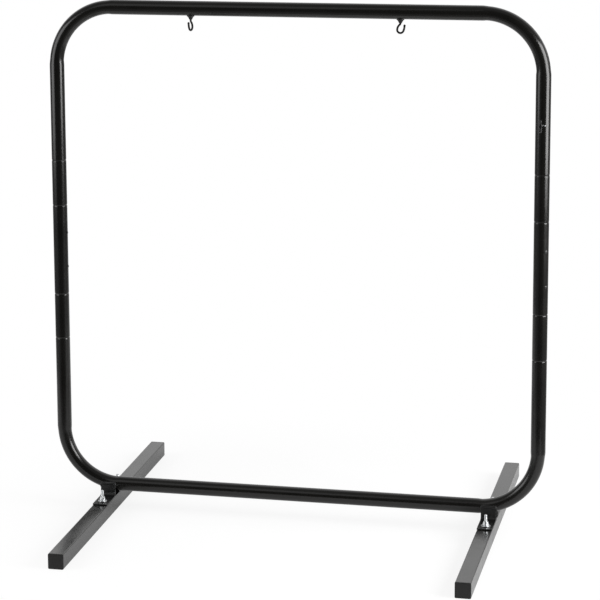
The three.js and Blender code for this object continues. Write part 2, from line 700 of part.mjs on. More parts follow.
// A hub with two lobed wings, from the seat at height 0 upwards. A recess in each wing's face and
// a bore through the hub are cut where the sizes give them.
function makeWingHead(sizes) {
  const hub = toSolid(turned([
    [0, 0],
    [sizes.hubRadius, 0],
    [sizes.hubTopRadius, sizes.hubHeight],
    [0, sizes.hubHeight],
  ], sizes.sides));
  const { lobeReach, lobeHeight, lobeRadius, wingRoot, wingFoot } = sizes;
  const wing = new THREE.Shape();
  wing.moveTo(0, wingFoot);
  wing.lineTo(sizes.hubRadius, wingFoot);
  wing.absarc(lobeReach, lobeHeight, lobeRadius, -Math.PI / 4, Math.PI * 0.9, false);
  wing.lineTo(wingRoot, sizes.hubHeight - wingFoot);
  wing.lineTo(0, sizes.hubHeight - wingFoot);
  let head = hub;
  for (const turn of [0, 180]) {
    let blade = extrudedAcross(wing, sizes.wingThickness, 3);
    if (sizes.recessRadius) {
      const recess = new THREE.Shape();
      recess.absarc(lobeReach, lobeHeight, sizes.recessRadius, 0, 2 * Math.PI, false);
      const web = sizes.wingThickness - 2 * sizes.recessDepth;
      const keep = extrudedAcross(recess, web, 4);
      const through = extrudedAcross(recess, sizes.wingThickness + CUT_OVERRUN, 4);
      blade = blade.subtract(through).add(keep);
    }
    head = head.add(placed(blade, turnZ(turn)));
  }
  if (sizes.bore) {
    const radius = boreRound(BOLT_RADIUS, RUNNING_GAP, sizes.sides);
    head = head.subtract(cylinder(radius, -CUT_OVERRUN, sizes.hubHeight + CUT_OVERRUN, sizes.sides));
  }
  return head;
}

const LOWER_FRAME_SPACE = placed(
  bentTubeSpace(LOWER_LEG),
  new THREE.Matrix4().makeRotationY(Math.PI).setPosition(0, 0, BOTTOM_AXIS_HEIGHT),
);

function addFastening(foot, sideName, endName) {
  const end = new THREE.Group();
  end.rotation.z = endName === 'front' ? 0 : Math.PI;
  foot.add(end);
  const toBracket = new THREE.Matrix4().makeRotationZ(-end.rotation.z);
  toBracket.multiply(new THREE.Matrix4().makeTranslation(-foot.position.x, 0, 0));
  const tubeSpace = placed(LOWER_FRAME_SPACE, toBracket);
  const name = `${sideName}_${endName}`;
  addPiece(end, `${name}_bracket`, makeBracket(tubeSpace), COLORS.plate);
  const place = { x: 0, y: -BOLT_REACH };
  const bolt = addPiece(end, `${name}_carriage_bolt`, makeBolt(), COLORS.zinc);
  bolt.position.set(place.x, place.y, 0);
  const washer = addPiece(end, `${name}_washer`, makeWasher(), COLORS.zinc);
  washer.position.set(place.x, place.y, WASHER_BASE);
  const nut = addPiece(end, `${name}_wing_nut`, makeWingHead(WING_NUT), COLORS.zinc);
  nut.position.set(place.x, place.y, NUT_BASE);
  nut.rotation.z = THREE.MathUtils.degToRad(WING_ANGLE[sideName][endName]) - end.rotation.z;
}

// Hooks

// Round rod bent to a question mark in the XZ plane, with a ball at its tip. The shank lies on Z
// and heights are measured down from the top tube's axis.
function makeHook() {
  const at = (reach, depth) => new THREE.Vector3(reach, 0, -depth);
  const centre = LOOP_RADIUS - BACK_REACH;
  const neckStart = at(0, NECK_START);
  const shoulder = at(-SHOULDER_REACH, SHOULDER_DEPTH);
  const loopStart = at(-BACK_REACH, LOOP_DEPTH);
  const path = new THREE.CurvePath();
  path.add(new THREE.LineCurve3(at(0, SHANK_TOP), neckStart));
  path.add(new THREE.QuadraticBezierCurve3(neckStart, at(0, NECK_BEND), shoulder));
  path.add(new THREE.QuadraticBezierCurve3(shoulder, at(-BACK_REACH, BACK_BEND), loopStart));
  const exit = THREE.MathUtils.degToRad(LOOP_EXIT_DEGREES);
  const arcSteps = 12;
  const arc = [];
  for (let k = 0; k <= arcSteps; k += 1) {
    const t = Math.PI + (k / arcSteps) * (exit - Math.PI);
    arc.push(at(centre + LOOP_RADIUS * Math.cos(t), LOOP_DEPTH - LOOP_RADIUS * Math.sin(t)));
  }
  path.add(new THREE.CatmullRomCurve3(arc, false, 'centripetal'));
  const tip = at(TIP_REACH, TIP_DEPTH);
  const tipBend = at(TIP_BEND_REACH, TIP_BEND_DEPTH);
  path.add(new THREE.QuadraticBezierCurve3(arc[arcSteps], tipBend, tip));
  const section = new THREE.Shape();
  section.absarc(0, 0, ROD_RADIUS, 0, 2 * Math.PI, false);
  const rod = new THREE.ExtrudeGeometry(section, {
    steps: HOOK_STEPS, extrudePath: path, bevelEnabled: false, curveSegments: ROD_SIDES / 2,
  });
  const ball = new THREE.SphereGeometry(TIP_RADIUS, ROD_SIDES, ROD_SIDES - 2).translate(tip.x, tip.y, tip.z);
  return toSolid(rod).add(toSolid(ball));
}

// Trumpet-shaped bush between hook and tube, its rim cut to sit on the tube's underside
function makeFerrule() {
  const bore = ROD_RADIUS + SEAT_GAP;
  const neck = bore + FERRULE_NECK_WALL;
  const outer = [];
  for (let k = 0; k <= FERRULE_STEPS; k += 1) {
    const t = (Math.PI / 2) * (k / FERRULE_STEPS);
    const radius = neck + (FERRULE_RIM_RADIUS - neck) * (1 - Math.cos(t));
    outer.push([radius, -FERRULE_RIM_DEPTH - FERRULE_LENGTH * (1 - Math.sin(t))]);
  }
  const top = -BORE_RADIUS + CUT_OVERRUN;
  outer.push([FERRULE_RIM_RADIUS, top]);
  const inner = [[bore, outer[0][1]], [bore, top]];
  const tube = cylinder(TUBE_RADIUS + SEAT_GAP, -FERRULE_RIM_RADIUS * 2, FERRULE_RIM_RADIUS * 2);
  const lying = placed(tube, new THREE.Matrix4().makeRotationY(Math.PI / 2));
  return turnedShell(outer, inner, FERRULE_SIDES).subtract(lying);
}

function makeHookNut() {
  const corner = HOOK_NUT_FLATS / Math.sqrt(3);
  const bottom = -BORE_RADIUS + HOOK_NUT_LIFT;
  const top = bottom + HOOK_NUT_HEIGHT;
  const bore = boreRound(ROD_RADIUS, RUNNING_GAP, FERRULE_SIDES);
  const body = cylinder(corner, bottom, top, HEXAGON);
  return body.subtract(cylinder(bore, bottom - CUT_OVERRUN, top + CUT_OVERRUN, FERRULE_SIDES));
}

function addHook(parent, sideName) {
  const place = new THREE.Group();
  place.position.set(SIDES[sideName] * HOOK_SPACING / 2, 0, TOP_AXIS_HEIGHT);
  parent.add(place);
  addPiece(place, `${sideName}_hook_ferrule`, makeFerrule(), COLORS.plastic);
  const turn = THREE.MathUtils.degToRad(HOOK_ANGLE[sideName]);
  const hook = addPiece(place, `${sideName}_hook`, makeHook(), COLORS.plate);
  hook.rotation.z = turn;
  hook.position.z = -HOOK_DROP[sideName];
  addPiece(place, `${sideName}_hook_nut`, makeHookNut(), COLORS.steel);
}

// Wing knob on the right upright

function makeKnob() {
  const thread = cylinder(KNOB_THREAD_RADIUS, -KNOB_THREAD_LENGTH, KNOB.hubHeight / 2, KNOB.sides);
  return makeWingHead(KNOB).add(thread);
}

// Flanged threaded insert, its flange cut to sit on the tube. Local Z points out of the tube
// and heights are measured from the tube's axis.
function makeInsert() {
  const bore = boreRound(KNOB_THREAD_RADIUS, RUNNING_GAP, KNOB.sides);
  const seat = TUBE_RADIUS + SEAT_GAP;
  const face = TUBE_RADIUS + INSERT_FLANGE_THICKNESS;
  const start = face - INSERT_BODY_LENGTH;
  const flange = turnedShell(
    [[INSERT_FLANGE_RADIUS, seat - CUT_OVERRUN], [INSERT_FLANGE_RADIUS, face]],
    [[bore, seat - CUT_OVERRUN], [bore, face]],
    KNOB.sides,
  );
  const clear = boreRound(TUBE_RADIUS, SEAT_GAP, TUBE_SIDES);
  const tube = placed(
    cylinder(clear, -INSERT_BODY_LENGTH, INSERT_BODY_LENGTH),
    new THREE.Matrix4().makeRotationY(Math.PI / 2),
  );
  const body = turnedShell(
    [[INSERT_BODY_RADIUS, start], [INSERT_BODY_RADIUS, face]],
    [[bore, start], [bore, face]],
    KNOB.sides,
  );
  return flange.subtract(tube).add(body);
}

// Rivet beside the insert: domed head outside and a set tail inside the tube
function makeRivet() {
  const seat = TUBE_RADIUS + SEAT_GAP;
  const inside = BORE_RADIUS - 2 * SEAT_GAP;
  const profile = [
    [0, inside - RIVET_TAIL_LENGTH],
    [RIVET_TAIL_RADIUS, inside - RIVET_TAIL_LENGTH],
    [RIVET_TAIL_RADIUS, inside],
    [RIVET_SHANK_RADIUS, inside],
    [RIVET_SHANK_RADIUS, seat],
    [RIVET_HEAD_RADIUS, seat],
  ];
  const domeSteps = 3;
  for (let k = 1; k <= domeSteps; k += 1) {
    const t = (Math.PI / 2) * (k / domeSteps);
    profile.push([RIVET_HEAD_RADIUS * Math.cos(t), seat + RIVET_HEAD_HEIGHT * Math.sin(t)]);
  }
  return toSolid(turned(profile, KNOB.sides));
}

function addKnob(parent) {
  const upright = new THREE.Group();
  upright.position.set(FRAME_WIDTH / 2, 0, KNOB_HEIGHT);
  parent.add(upright);
  // Local Z is turned to point out of the tube, with local X upright
  const outwards = (azimuth) => {
    const t = THREE.MathUtils.degToRad(azimuth);
    const out = new THREE.Vector3(Math.sin(t), -Math.cos(t), 0);
    const up = new THREE.Vector3(0, 0, 1);
    const group = new THREE.Group();
    group.quaternion.setFromRotationMatrix(new THREE.Matrix4().makeBasis(up, out.clone().cross(up), out));
    upright.add(group);
    return group;
  };
  const knobPlace = outwards(KNOB_AZIMUTH);
  const knob = addPiece(knobPlace, 'wing_knob', makeKnob(), COLORS.plastic);
  knob.position.z = TUBE_RADIUS + INSERT_FLANGE_THICKNESS + SEAT_GAP;
  addPiece(knobPlace, 'knob_insert', makeInsert(), COLORS.steel);
  addPiece(outwards(RIVET_AZIMUTH), 'insert_rivet', makeRivet(), COLORS.zinc);
}

// The stand

const stand = new THREE.Group();
const upper = addPiece(stand, 'upper_frame_tube', makeUpperFrame(), COLORS.tube);
upper.position.z = TOP_AXIS_HEIGHT;
const lower = addPiece(stand, 'lower_frame_tube', bentTube(LOWER_LEG), COLORS.tube);
lower.position.z = BOTTOM_AXIS_HEIGHT;
lower.rotation.y = Math.PI;
for (const sideName of Object.keys(SIDES)) {
  addJoint(stand, sideName);
  addFoot(stand, sideName);
  addHook(stand, sideName);
}
addKnob(stand);

export default stand;
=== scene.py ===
"""Dresses a steel-tube gong stand: fine surfaces, finishes, studio light and camera."""

import json
import math

import bmesh
import bpy
from bpy.props import FloatProperty, FloatVectorProperty, PointerProperty
from mathutils import Matrix, Vector


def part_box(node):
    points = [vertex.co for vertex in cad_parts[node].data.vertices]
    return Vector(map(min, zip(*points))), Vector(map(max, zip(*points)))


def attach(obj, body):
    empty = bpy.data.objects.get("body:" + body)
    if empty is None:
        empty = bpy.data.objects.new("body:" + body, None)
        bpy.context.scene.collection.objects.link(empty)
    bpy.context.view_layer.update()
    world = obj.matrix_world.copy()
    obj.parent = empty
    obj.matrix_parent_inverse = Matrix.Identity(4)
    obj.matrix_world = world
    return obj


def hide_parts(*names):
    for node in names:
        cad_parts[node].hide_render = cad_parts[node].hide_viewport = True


bl_info = {
    "name": "Gong Stand",
    "version": (1, 0, 0),
    "blender": (4, 5, 0),
    "location": "View3D > Sidebar > Gong Stand",
    "description": "Builds the fine surfaces and finishes of a knock-down gong stand",
    "category": "Object",
}

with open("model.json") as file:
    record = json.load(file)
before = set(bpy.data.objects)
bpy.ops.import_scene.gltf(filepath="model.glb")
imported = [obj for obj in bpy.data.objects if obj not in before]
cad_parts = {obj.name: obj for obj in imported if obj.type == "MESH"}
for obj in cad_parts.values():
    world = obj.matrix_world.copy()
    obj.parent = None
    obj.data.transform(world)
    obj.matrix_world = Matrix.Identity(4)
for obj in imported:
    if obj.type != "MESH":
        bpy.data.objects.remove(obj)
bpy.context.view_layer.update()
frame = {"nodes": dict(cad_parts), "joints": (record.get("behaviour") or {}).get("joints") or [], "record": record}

MM = 0.001
Y_AXIS = Vector((0, 1, 0))
Z_AXIS = Vector((0, 0, 1))

# The ways in which the stand's names repeat
SIDES = {"left": -1, "right": 1}
LEVELS = {"upper": 1, "lower": -1}
ENDS = {"front": -1, "rear": 1}
PLUGS = [f"{side}_{level}" for side in SIDES for level in LEVELS]
FOOT_ENDS = {f"{side}_{end}": way for side in SIDES for end, way in ENDS.items()}

# Places that the frame's solids give
UPPER_LOW, UPPER_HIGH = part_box("upper_frame_tube")
LOWER_LOW, LOWER_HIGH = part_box("lower_frame_tube")
SLEEVE_LOW, SLEEVE_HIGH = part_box("left_joint_sleeve")
FOOT_LOW, FOOT_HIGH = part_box("right_foot_tube")
TUBE_RADIUS = (UPPER_HIGH.y - UPPER_LOW.y) / 2
UPRIGHT_X = UPPER_HIGH.x - TUBE_RADIUS
TOP_Z = UPPER_HIGH.z - TUBE_RADIUS
BOTTOM_Z = LOWER_LOW.z + TUBE_RADIUS
JOINT_Z = (SLEEVE_LOW.z + SLEEVE_HIGH.z) / 2
FOOT_SIDE = FOOT_HIGH.z - FOOT_LOW.z

JOINTS = {joint["child"]: joint for joint in frame["joints"]}
BODY_OF = {
    node: body
    for body, nodes in frame["record"]["behaviour"]["bodies"].items()
    for node in nodes
}
SLOT_OF = {part["node"]: part["material_slot"] for part in frame["record"]["subparts"]}

# Sides of round bodies, more on the larger ones, and steps of rounded edges
SMALL_ROUND, MIDDLE_ROUND, LARGE_ROUND, RIM_ROUND = 32, 40, 48, 56
EDGE_STEPS = 3

# Angles in degrees up to which a surface is shaded smooth
FLAT_CREASE, PLATE_CREASE, TURNED_CREASE, BENT_CREASE, CAST_CREASE = 30, 35, 40, 50, 60

# Play between a hole and what goes through it
CLEARANCE = 0.25 * MM


def linear(hex_colour):
    """An sRGB hex value as linear red, green, blue and alpha."""
    channels = [int(hex_colour[i:i + 2], 16) / 255 for i in (1, 3, 5)]
    return tuple(
        c / 12.92 if c <= 0.04045 else ((c + 0.055) / 1.055) ** 2.4 for c in channels
    ) + (1.0,)


TUBE_BLACK = linear("#0d0d0c")
TUBE_BLACK_WORN = linear("#151412")
FOOT_BLACK = linear("#141413")
FOOT_BLACK_WORN = linear("#1c1c1b")
PLATE_BLACK = linear("#0a0a0a")
ROD_BLACK = linear("#070707")
CAP_BLACK = linear("#1b1b1b")
KNOB_BLACK = linear("#151516")
ZINC_LIGHT = linear("#ececec")
ZINC_BLUE = linear("#dde1e4")
RIVET_GREY = linear("#a4a6a8")
SPRING_GREY = linear("#8b8d8e")
DRAWN_GREY = linear("#7f8183")
FLOOR_PALE = linear("#f2f2f2")


def length(name, description, size_mm):
    """A length that can be set, given here in millimetres."""
    return FloatProperty(
        name=name, description=description, default=size_mm * MM, unit="LENGTH", precision=5)


def fraction(name, description, default):
    """A share or level that can be set, from 0 to 1."""
    return FloatProperty(
        name=name, description=description, default=default, min=0, max=1, subtype="FACTOR")


def colour(name, description, default):
    """A colour that can be set."""
    return FloatVectorProperty(
        name=name, description=description, default=default, size=4, subtype="COLOR")


class GongStandSizes(bpy.types.PropertyGroup):
    """Sizes of the fine surfaces."""

    tube_wall: length("Tube wall", "Wall of the round tubes", 1.5)
    bend_radius: length("Bend radius", "Bends, to the tube's axis", 151.5)
    flattened: fraction("Flattened share", "Share of the radius left in the plane of a bend", 0.94)
    bend_ramp: FloatProperty(
        name="Bend ramp", description="Turn over which a bend flattens",
        default=math.radians(4), subtype="ANGLE")
    crimp_inner: length("Inner groove", "Nearer groove from the joint's middle", 119.5)
    crimp_outer: length("Outer groove", "Farther groove from the joint's middle", 239)
    crimp_width: length("Groove width", "Rolled grooves, edge to edge", 6)
    crimp_depth: length("Groove depth", "Rolled grooves", 0.8)
    edge: length("Edge rounding", "Rounding of cut tube edges", 0.35)
    foot_corner: length("Foot corner", "Outer corner radius of the square tube", 3)
    foot_wall: length("Foot wall", "Wall of the square tube", 2)
    thread_pitch: length("Bolt thread", "Pitch of the bolts' thread", 1.25)


class GongStandFinishes(bpy.types.PropertyGroup):
    """Colours and gloss of the main finishes."""

    tube_colour: colour("Tube colour", "Powder coat on the round tubes", TUBE_BLACK)
    foot_colour: colour("Foot colour", "Powder coat on the feet", FOOT_BLACK)
    zinc_colour: colour("Zinc colour", "Zinc plate on the fasteners", ZINC_LIGHT)
    tube_roughness: fraction("Tube roughness", "Powder coat on the round tubes", 0.2)
    foot_roughness: fraction("Foot roughness", "Powder coat on the feet", 0.22)
    zinc_roughness: fraction("Zinc roughness", "Zinc plate on the fasteners", 0.38)


class GongStandStage(bpy.types.PropertyGroup):
    """Light, as shares of white."""

    ambient: fraction("Ambient level", "Light that comes from all round", 0.42)
    room_level: fraction("Room level", "What gloss mirrors at the sides and overhead", 0.28)
    dark_level: fraction("Dark level", "What gloss mirrors where the camera stands", 0.04)
    shadow_share: fraction("Shadow share", "How much of the floor's shading the camera sees", 0.22)
    floor_shade: fraction("Floor level", "How light the lit floor is beside white", 0.78)
    mirrored_share: fraction("Mirrored share", "How much of the floor's white gloss mirrors", 0.3)


# Materials

# The Mix node's sockets, whose names repeat for each kind of data
FACTOR, FLOAT_A, FLOAT_B, COLOUR_A, COLOUR_B = 0, 2, 3, 6, 7
COLOUR_OUT = 2

# Where the middle of a noise begins and ends
NOISE_LOW, NOISE_HIGH = 0.3, 0.7


def add_node(tree, kind, settings=None, links=None):
    """Adds a node, set by input or property name and linked by input name to nodes or sockets."""
    node = tree.nodes.new(kind)
    for key, value in (settings or {}).items():
        if isinstance(key, str) and hasattr(node, key):
            setattr(node, key, value)
        else:
            node.inputs[key].default_value = value
    for key, source in (links or {}).items():
        socket = source.outputs[0] if isinstance(source, bpy.types.Node) else source
        tree.links.new(socket, node.inputs[key])
    return node


def new_material(name):
    """A material with an empty node tree, and the tree."""
    material = bpy.data.materials.new(name)
    material.use_nodes = True
    material.node_tree.nodes.clear()
    return material, material.node_tree


def per_metre(size_mm):
    """Noise scale at which one feature measures about the given size."""
    return 1 / (size_mm * MM)


def lay_surface(tree, colours, roughness, spread, cloud, relief, height, settings):
    """Colour and roughness that follow a cloudy pattern, over a surface raised by a relief."""
    tint = add_node(tree, "ShaderNodeMix", {
        "data_type": "RGBA", COLOUR_A: colours[0], COLOUR_B: colours[1],
    }, {FACTOR: cloud})
    rough = add_node(tree, "ShaderNodeMapRange", {
        "From Min": NOISE_LOW, "From Max": NOISE_HIGH,
        "To Min": roughness - spread, "To Max": roughness + spread,
    }, {"Value": cloud})
    bump = add_node(tree, "ShaderNodeBump", {"Strength": 1.0, "Distance": height * MM}, {
        "Height": relief,
    })
    shader = add_node(tree, "ShaderNodeBsdfPrincipled", settings, {
        "Base Color": tint.outputs[COLOUR_OUT], "Roughness": rough, "Normal": bump,
    })
    add_node(tree, "ShaderNodeOutputMaterial", None, {"Surface": shader})


def coated(name, colours, roughness, specular, ripple_mm, ripple_height, mottle_mm=60):
    """Paint or plastic: two close colours mottled, with a fine ripple in its surface."""
    material, tree = new_material(name)
    place = add_node(tree, "ShaderNodeTexCoord").outputs["Object"]
    mottle = add_node(tree, "ShaderNodeTexNoise", {
        "Scale": per_metre(mottle_mm), "Detail": 3.0,
    }, {"Vector": place})
    ripple = add_node(tree, "ShaderNodeTexNoise", {
        "Scale": per_metre(ripple_mm), "Detail": 1.5, "Roughness": 0.4,
    }, {"Vector": place})
    lay_surface(tree, colours, roughness, 0.03, mottle, ripple, ripple_height, {
        "IOR": 1.5, "Specular IOR Level": specular,
    })
    return material


def metal(name, colours, roughness, grain_mm, grain_height, along=(1, 1, 1)):
    """Bare or plated metal, with a grain that can be stretched along an axis."""
    material, tree = new_material(name)
    place = add_node(tree, "ShaderNodeTexCoord").outputs["Object"]
    stretch = add_node(tree, "ShaderNodeMapping", {"Scale": along}, {"Vector": place})
    grain = add_node(tree, "ShaderNodeTexNoise", {
        "Scale": per_metre(grain_mm), "Detail": 3.0,
    }, {"Vector": stretch})
    lay_surface(tree, colours, roughness, 0.06, grain, grain, grain_height, {"Metallic": 1.0})
    return material


MATERIALS = {}


def make_materials(finishes):
    """All finishes, by the record's slot name or by a name of their own."""
    zinc = (finishes.zinc_colour, ZINC_BLUE)
    MATERIALS.update({
        # Gloss powder coat: mirrors lamps as long streaks, softened by the melted powder's ripple
        "tube_paint": coated(
            "powder_coat_gloss_black", (finishes.tube_colour, TUBE_BLACK_WORN),
            finishes.tube_roughness, 0.42, 4, 0.012),
        # Satin powder coat: greyer at a flat angle, where it mirrors the room
        "foot_paint": coated(
            "powder_coat_satin_black", (finishes.foot_colour, FOOT_BLACK_WORN),
            finishes.foot_roughness, 0.6, 4, 0.006),
        # Dipped enamel: deeper black and half dull, with a coarser ripple
        "plate_paint": coated(
            "dipped_enamel_black", (PLATE_BLACK, TUBE_BLACK), 0.39, 0.5, 6, 0.03),
        # Plastic-dipped rod: a thick deep black skin with a dull shine
        "hook_paint": coated(
            "dipped_rod_coating_black", (ROD_BLACK, PLATE_BLACK), 0.4, 0.22, 3, 0.02),
        # Injection-moulded polyethylene: matt, with a spark-eroded grain, coarser here to show
        "cap_plastic": coated(
            "moulded_polyethylene_black", (CAP_BLACK, FOOT_BLACK), 0.5, 0.4, 0.9, 0.02),
        # Injection-moulded ABS: dense black with a gloss that lights the wings' edges
        "knob_plastic": coated(
            "moulded_abs_black", (KNOB_BLACK, PLATE_BLACK), 0.13, 1.0, 0.8, 0.003),
        # Bright zinc plate on steel: bluish white, faintly cloudy
        "zinc": metal("bright_zinc_plate", zinc, finishes.zinc_roughness, 5, 0.004),
        # Pressed nickel-plated rivet: greyer than the zinc
        "rivet_nickel": metal("dull_nickel_plate", (RIVET_GREY, SPRING_GREY), 0.4, 2, 0.004),
        # Die-cast zinc, tumbled and plated: softly pitted, with larger pits here to show
        "cast_zinc": metal("tumbled_zinc_casting", zinc, 0.42, 1.8, 0.02),
        # Spring steel blackened in hot oxide: nearly black, with a dull metallic sheen
        "black_steel": coated(
            "black_oxide_steel", (PLATE_BLACK, CAP_BLACK), 0.3, 0.6, 1.2, 0.006, 6),
        # Blued spring strip: rolled lines along its length, coarser here to show
        "spring_steel": metal(
            "rolled_spring_steel", (SPRING_GREY, DRAWN_GREY), 0.35, 1.2, 0.01, (1, 1, 0.1)),
        # Cold-drawn steel tube, oiled: lines along the draw, coarser here to show
        "spigot_steel": metal(
            "cold_drawn_steel", (DRAWN_GREY, SPRING_GREY), 0.38, 1.5, 0.015, (1, 1, 0.05)),
    })


# Mesh making

SQUARE = ((1, 1), (-1, 1), (-1, -1), (1, -1))


def joined(rings, loop=False):
    """Points and faces of a skin over rings. A loop joins the last ring to the first."""
    sides = len(rings[0])
    points = [point for ring in rings for point in ring]
    faces = []
    for i in range(len(rings) if loop else len(rings) - 1):
        here, there = i * sides, ((i + 1) % len(rings)) * sides
        for k in range(sides):
            after = (k + 1) % sides
            faces.append((here + k, here + after, there + after, there + k))
    if not loop:
        faces.append(tuple(range(sides)))
        faces.append(tuple((len(rings) - 1) * sides + k for k in range(sides)))
    return points, faces


def new_piece(name, *parts):
    """An object from one or several (points, faces), with its faces turned outwards."""
    shape = bmesh.new()
    for points, faces in parts:
        corners = [shape.verts.new(point) for point in points]
        for face in faces:
            shape.faces.new([corners[i] for i in face])
    bmesh.ops.remove_doubles(shape, verts=shape.verts, dist=0.001 * MM)
    bmesh.ops.recalc_face_normals(shape, faces=shape.faces)
    mesh = bpy.data.meshes.new(name)
    shape.to_mesh(mesh)
    shape.free()
    piece = bpy.data.objects.new(name, mesh)
    bpy.context.scene.collection.objects.link(piece)
    return piece


def apply_modifiers(piece):
    """Replaces a piece's mesh by what its modifiers make of it."""
    graph = bpy.context.evaluated_depsgraph_get()
    mesh = bpy.data.meshes.new_from_object(piece.evaluated_get(graph))
    piece.modifiers.clear()
    old = piece.data
    piece.data = mesh
    bpy.data.meshes.remove(old)


def cut(piece, cutters):
    """Cuts closed pieces out of a piece and deletes them."""
    for cutter in cutters:
        modifier = piece.modifiers.new("cut", "BOOLEAN")
        modifier.operation = "DIFFERENCE"
        modifier.solver = "EXACT"
        modifier.object = cutter
    apply_modifiers(piece)
    for cutter in cutters:
        bpy.data.objects.remove(cutter)


def shade(piece, crease):
    """Smooth shading up to an angle, in which broad faces stay flat beside narrow ones."""
    piece.data.shade_smooth()
    piece.data.set_sharp_from_angle(angle=math.radians(crease))
    modifier = piece.modifiers.new("normals", "WEIGHTED_NORMAL")
    modifier.keep_sharp = True
    apply_modifiers(piece)


def set_piece(piece, node, crease, material=None):
    """Shades a piece, gives it its finish and puts it in a node's stead."""
    shade(piece, crease)
    slot = SLOT_OF[node]
    piece.data.materials.clear()
    piece.data.materials.append(MATERIALS[material or slot])
    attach(piece, BODY_OF[node])
    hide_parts(node)


def dress(node):
    """Gives a CAD node the material of its slot."""
    target = frame["nodes"][node]
    target.data.materials.clear()
    target.data.materials.append(MATERIALS[SLOT_OF[node]])


def middle(node):
    """Centre of a node's box."""
    low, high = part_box(node)
    return (low + high) / 2


def upright_at(node):
    """A place on the floor below a node's middle."""
    centre = middle(node)
    return Matrix.Translation((centre.x, centre.y, 0))


def facing(centre, direction, up=Z_AXIS):
    """A place with Z along a direction and X as near up as it can be."""
    z = direction.normalized()
    y = z.cross(up).normalized()
    x = y.cross(z)
    return Matrix.Translation(centre) @ Matrix((x, y, z)).transposed().to_4x4()


def measured(node, place):
    """Height along a place's Z, and distance from it, of each of a node's points."""
    back = place.inverted()
    points = [back @ vertex.co for vertex in frame["nodes"][node].data.vertices]
    return [(point.z, math.hypot(point.x, point.y)) for point in points]


def arc(centre, radius, start, end, steps):
    """Points of a round stretch in a plane, angles in degrees."""
    turns = [math.radians(start + (end - start) * k / steps) for k in range(steps + 1)]
    return [
        (centre[0] + radius * math.cos(turn), centre[1] + radius * math.sin(turn))
        for turn in turns
    ]


def rim(radius, low, high, edge):
    """Profile of a turned body's outside with both its corners rounded."""
    inside = radius - edge
    lower = arc((inside, low + edge), edge, -90, 0, EDGE_STEPS)
    return lower + arc((inside, high - edge), edge, 0, 90, EDGE_STEPS)


def rounded(width, height, corner, steps):
    """Outline of a rectangle with round corners, centred on the origin."""
    points = []
    for k, (sx, sy) in enumerate(SQUARE):
        centre = (sx * (width / 2 - corner), sy * (height / 2 - corner))
        points += arc(centre, corner, 90 * k, 90 * (k + 1), steps)
    return points


def circle(centre, across, up, sides):
    """Points round a centre, from one half-width vector towards another."""
    turns = [math.tau * k / sides for k in range(sides)]
    return [centre + across * math.cos(turn) + up * math.sin(turn) for turn in turns]


def turned(profile, sides, place, loop=False):
    """A body of revolution about a place's Z, from (radius, height) pairs."""
    turns = [math.tau * k / sides for k in range(sides)]
    return joined([
        [place @ Vector((radius * math.cos(t), radius * math.sin(t), height)) for t in turns]
        for radius, height in profile
    ], loop)


def square_bar(side, low, high, place):
    """A square bar along a place's Z."""
    return joined([
        [place @ Vector((sx * side / 2, sy * side / 2, z)) for sx, sy in SQUARE]
        for z in (low, high)
    ])


def drill(radius, low, high, sides, place):
    """A round cutter along a place's Z."""
    profile = [(0, low), (radius, low), (radius, high), (0, high)]
    return new_piece("drill", turned(profile, sides, place))


# Frame tubes

TUBE_SIDES = 64
BEND_STEPS = 40
GROOVE_STEPS = 10


def smooth_step(t):
    """Rises gently from 0 to 1."""
    t = min(max(t, 0), 1)
    return t * t * (3 - 2 * t)


def tube_stations(sizes, level):
    """Places along a U from its left leg: x, z, turn, share kept in its plane, and dip."""
    run_z = TOP_Z if level > 0 else BOTTOM_Z
    end_z = UPPER_LOW.z if level > 0 else LOWER_HIGH.z
    bend_z = run_z - level * sizes.bend_radius
    leg = [(end_z, sizes.edge), (end_z + level * sizes.edge, 0)]
    for offset in (sizes.crimp_inner, sizes.crimp_outer):
        for k in range(GROOVE_STEPS + 1):
            share = k / GROOVE_STEPS
            dip = sizes.crimp_depth * (1 - math.cos(math.tau * share)) / 2
            leg.append((JOINT_Z + level * (offset + sizes.crimp_width * (share - 0.5)), dip))
    leg.append((bend_z, 0))
    left = [(-UPRIGHT_X, z, 0, 1, dip) for z, dip in leg]
    for k in range(1, BEND_STEPS + 1):
        turn = math.pi / 2 * k / BEND_STEPS
        ramp = smooth_step(min(turn, math.pi / 2 - turn) / sizes.bend_ramp)
        left.append((
            -UPRIGHT_X + sizes.bend_radius * (1 - math.cos(turn)),
            run_z - level * sizes.bend_radius * (1 - math.sin(turn)),
            turn, 1 - (1 - sizes.flattened) * ramp, 0,
        ))
    right = [(-x, z, math.pi - turn, share, dip) for x, z, turn, share, dip in reversed(left)]
    return left + right


def tube_ring(station, radius, level):
    """Points round the tube at a station."""
    x, z, turn, share, dip = station
    out = Vector((-math.cos(turn), 0, level * math.sin(turn)))
    reach = radius - dip
    return circle(Vector((x, 0, z)), out * (reach * share), Y_AXIS * reach, TUBE_SIDES)


def bent_tube(sizes, level):
    """Points and faces of a U's outer and inner walls."""
    stations = tube_stations(sizes, level)
    bore = stations[1:-1]
    bore = [
        (bore[0][0], stations[0][1], *bore[0][2:]), *bore,
        (bore[-1][0], stations[-1][1], *bore[-1][2:]),
    ]
    outer = [tube_ring(station, TUBE_RADIUS, level) for station in stations]
    inner = [tube_ring(station, TUBE_RADIUS - sizes.tube_wall, level) for station in bore]
    return joined(outer + inner[::-1], True)


class GONG_OT_frame_tubes(bpy.types.Operator):
    """Two draw-bent U's with their rolled grooves."""

    bl_idname = "gong.frame_tubes"
    bl_label = "Frame tubes"

    def execute(self, context):
        for name, level in LEVELS.items():
            piece = new_piece(f"{name}_bent_tube", bent_tube(context.scene.gong_sizes, level))
            set_piece(piece, f"{name}_frame_tube", BENT_CREASE)
        return {"FINISHED"}


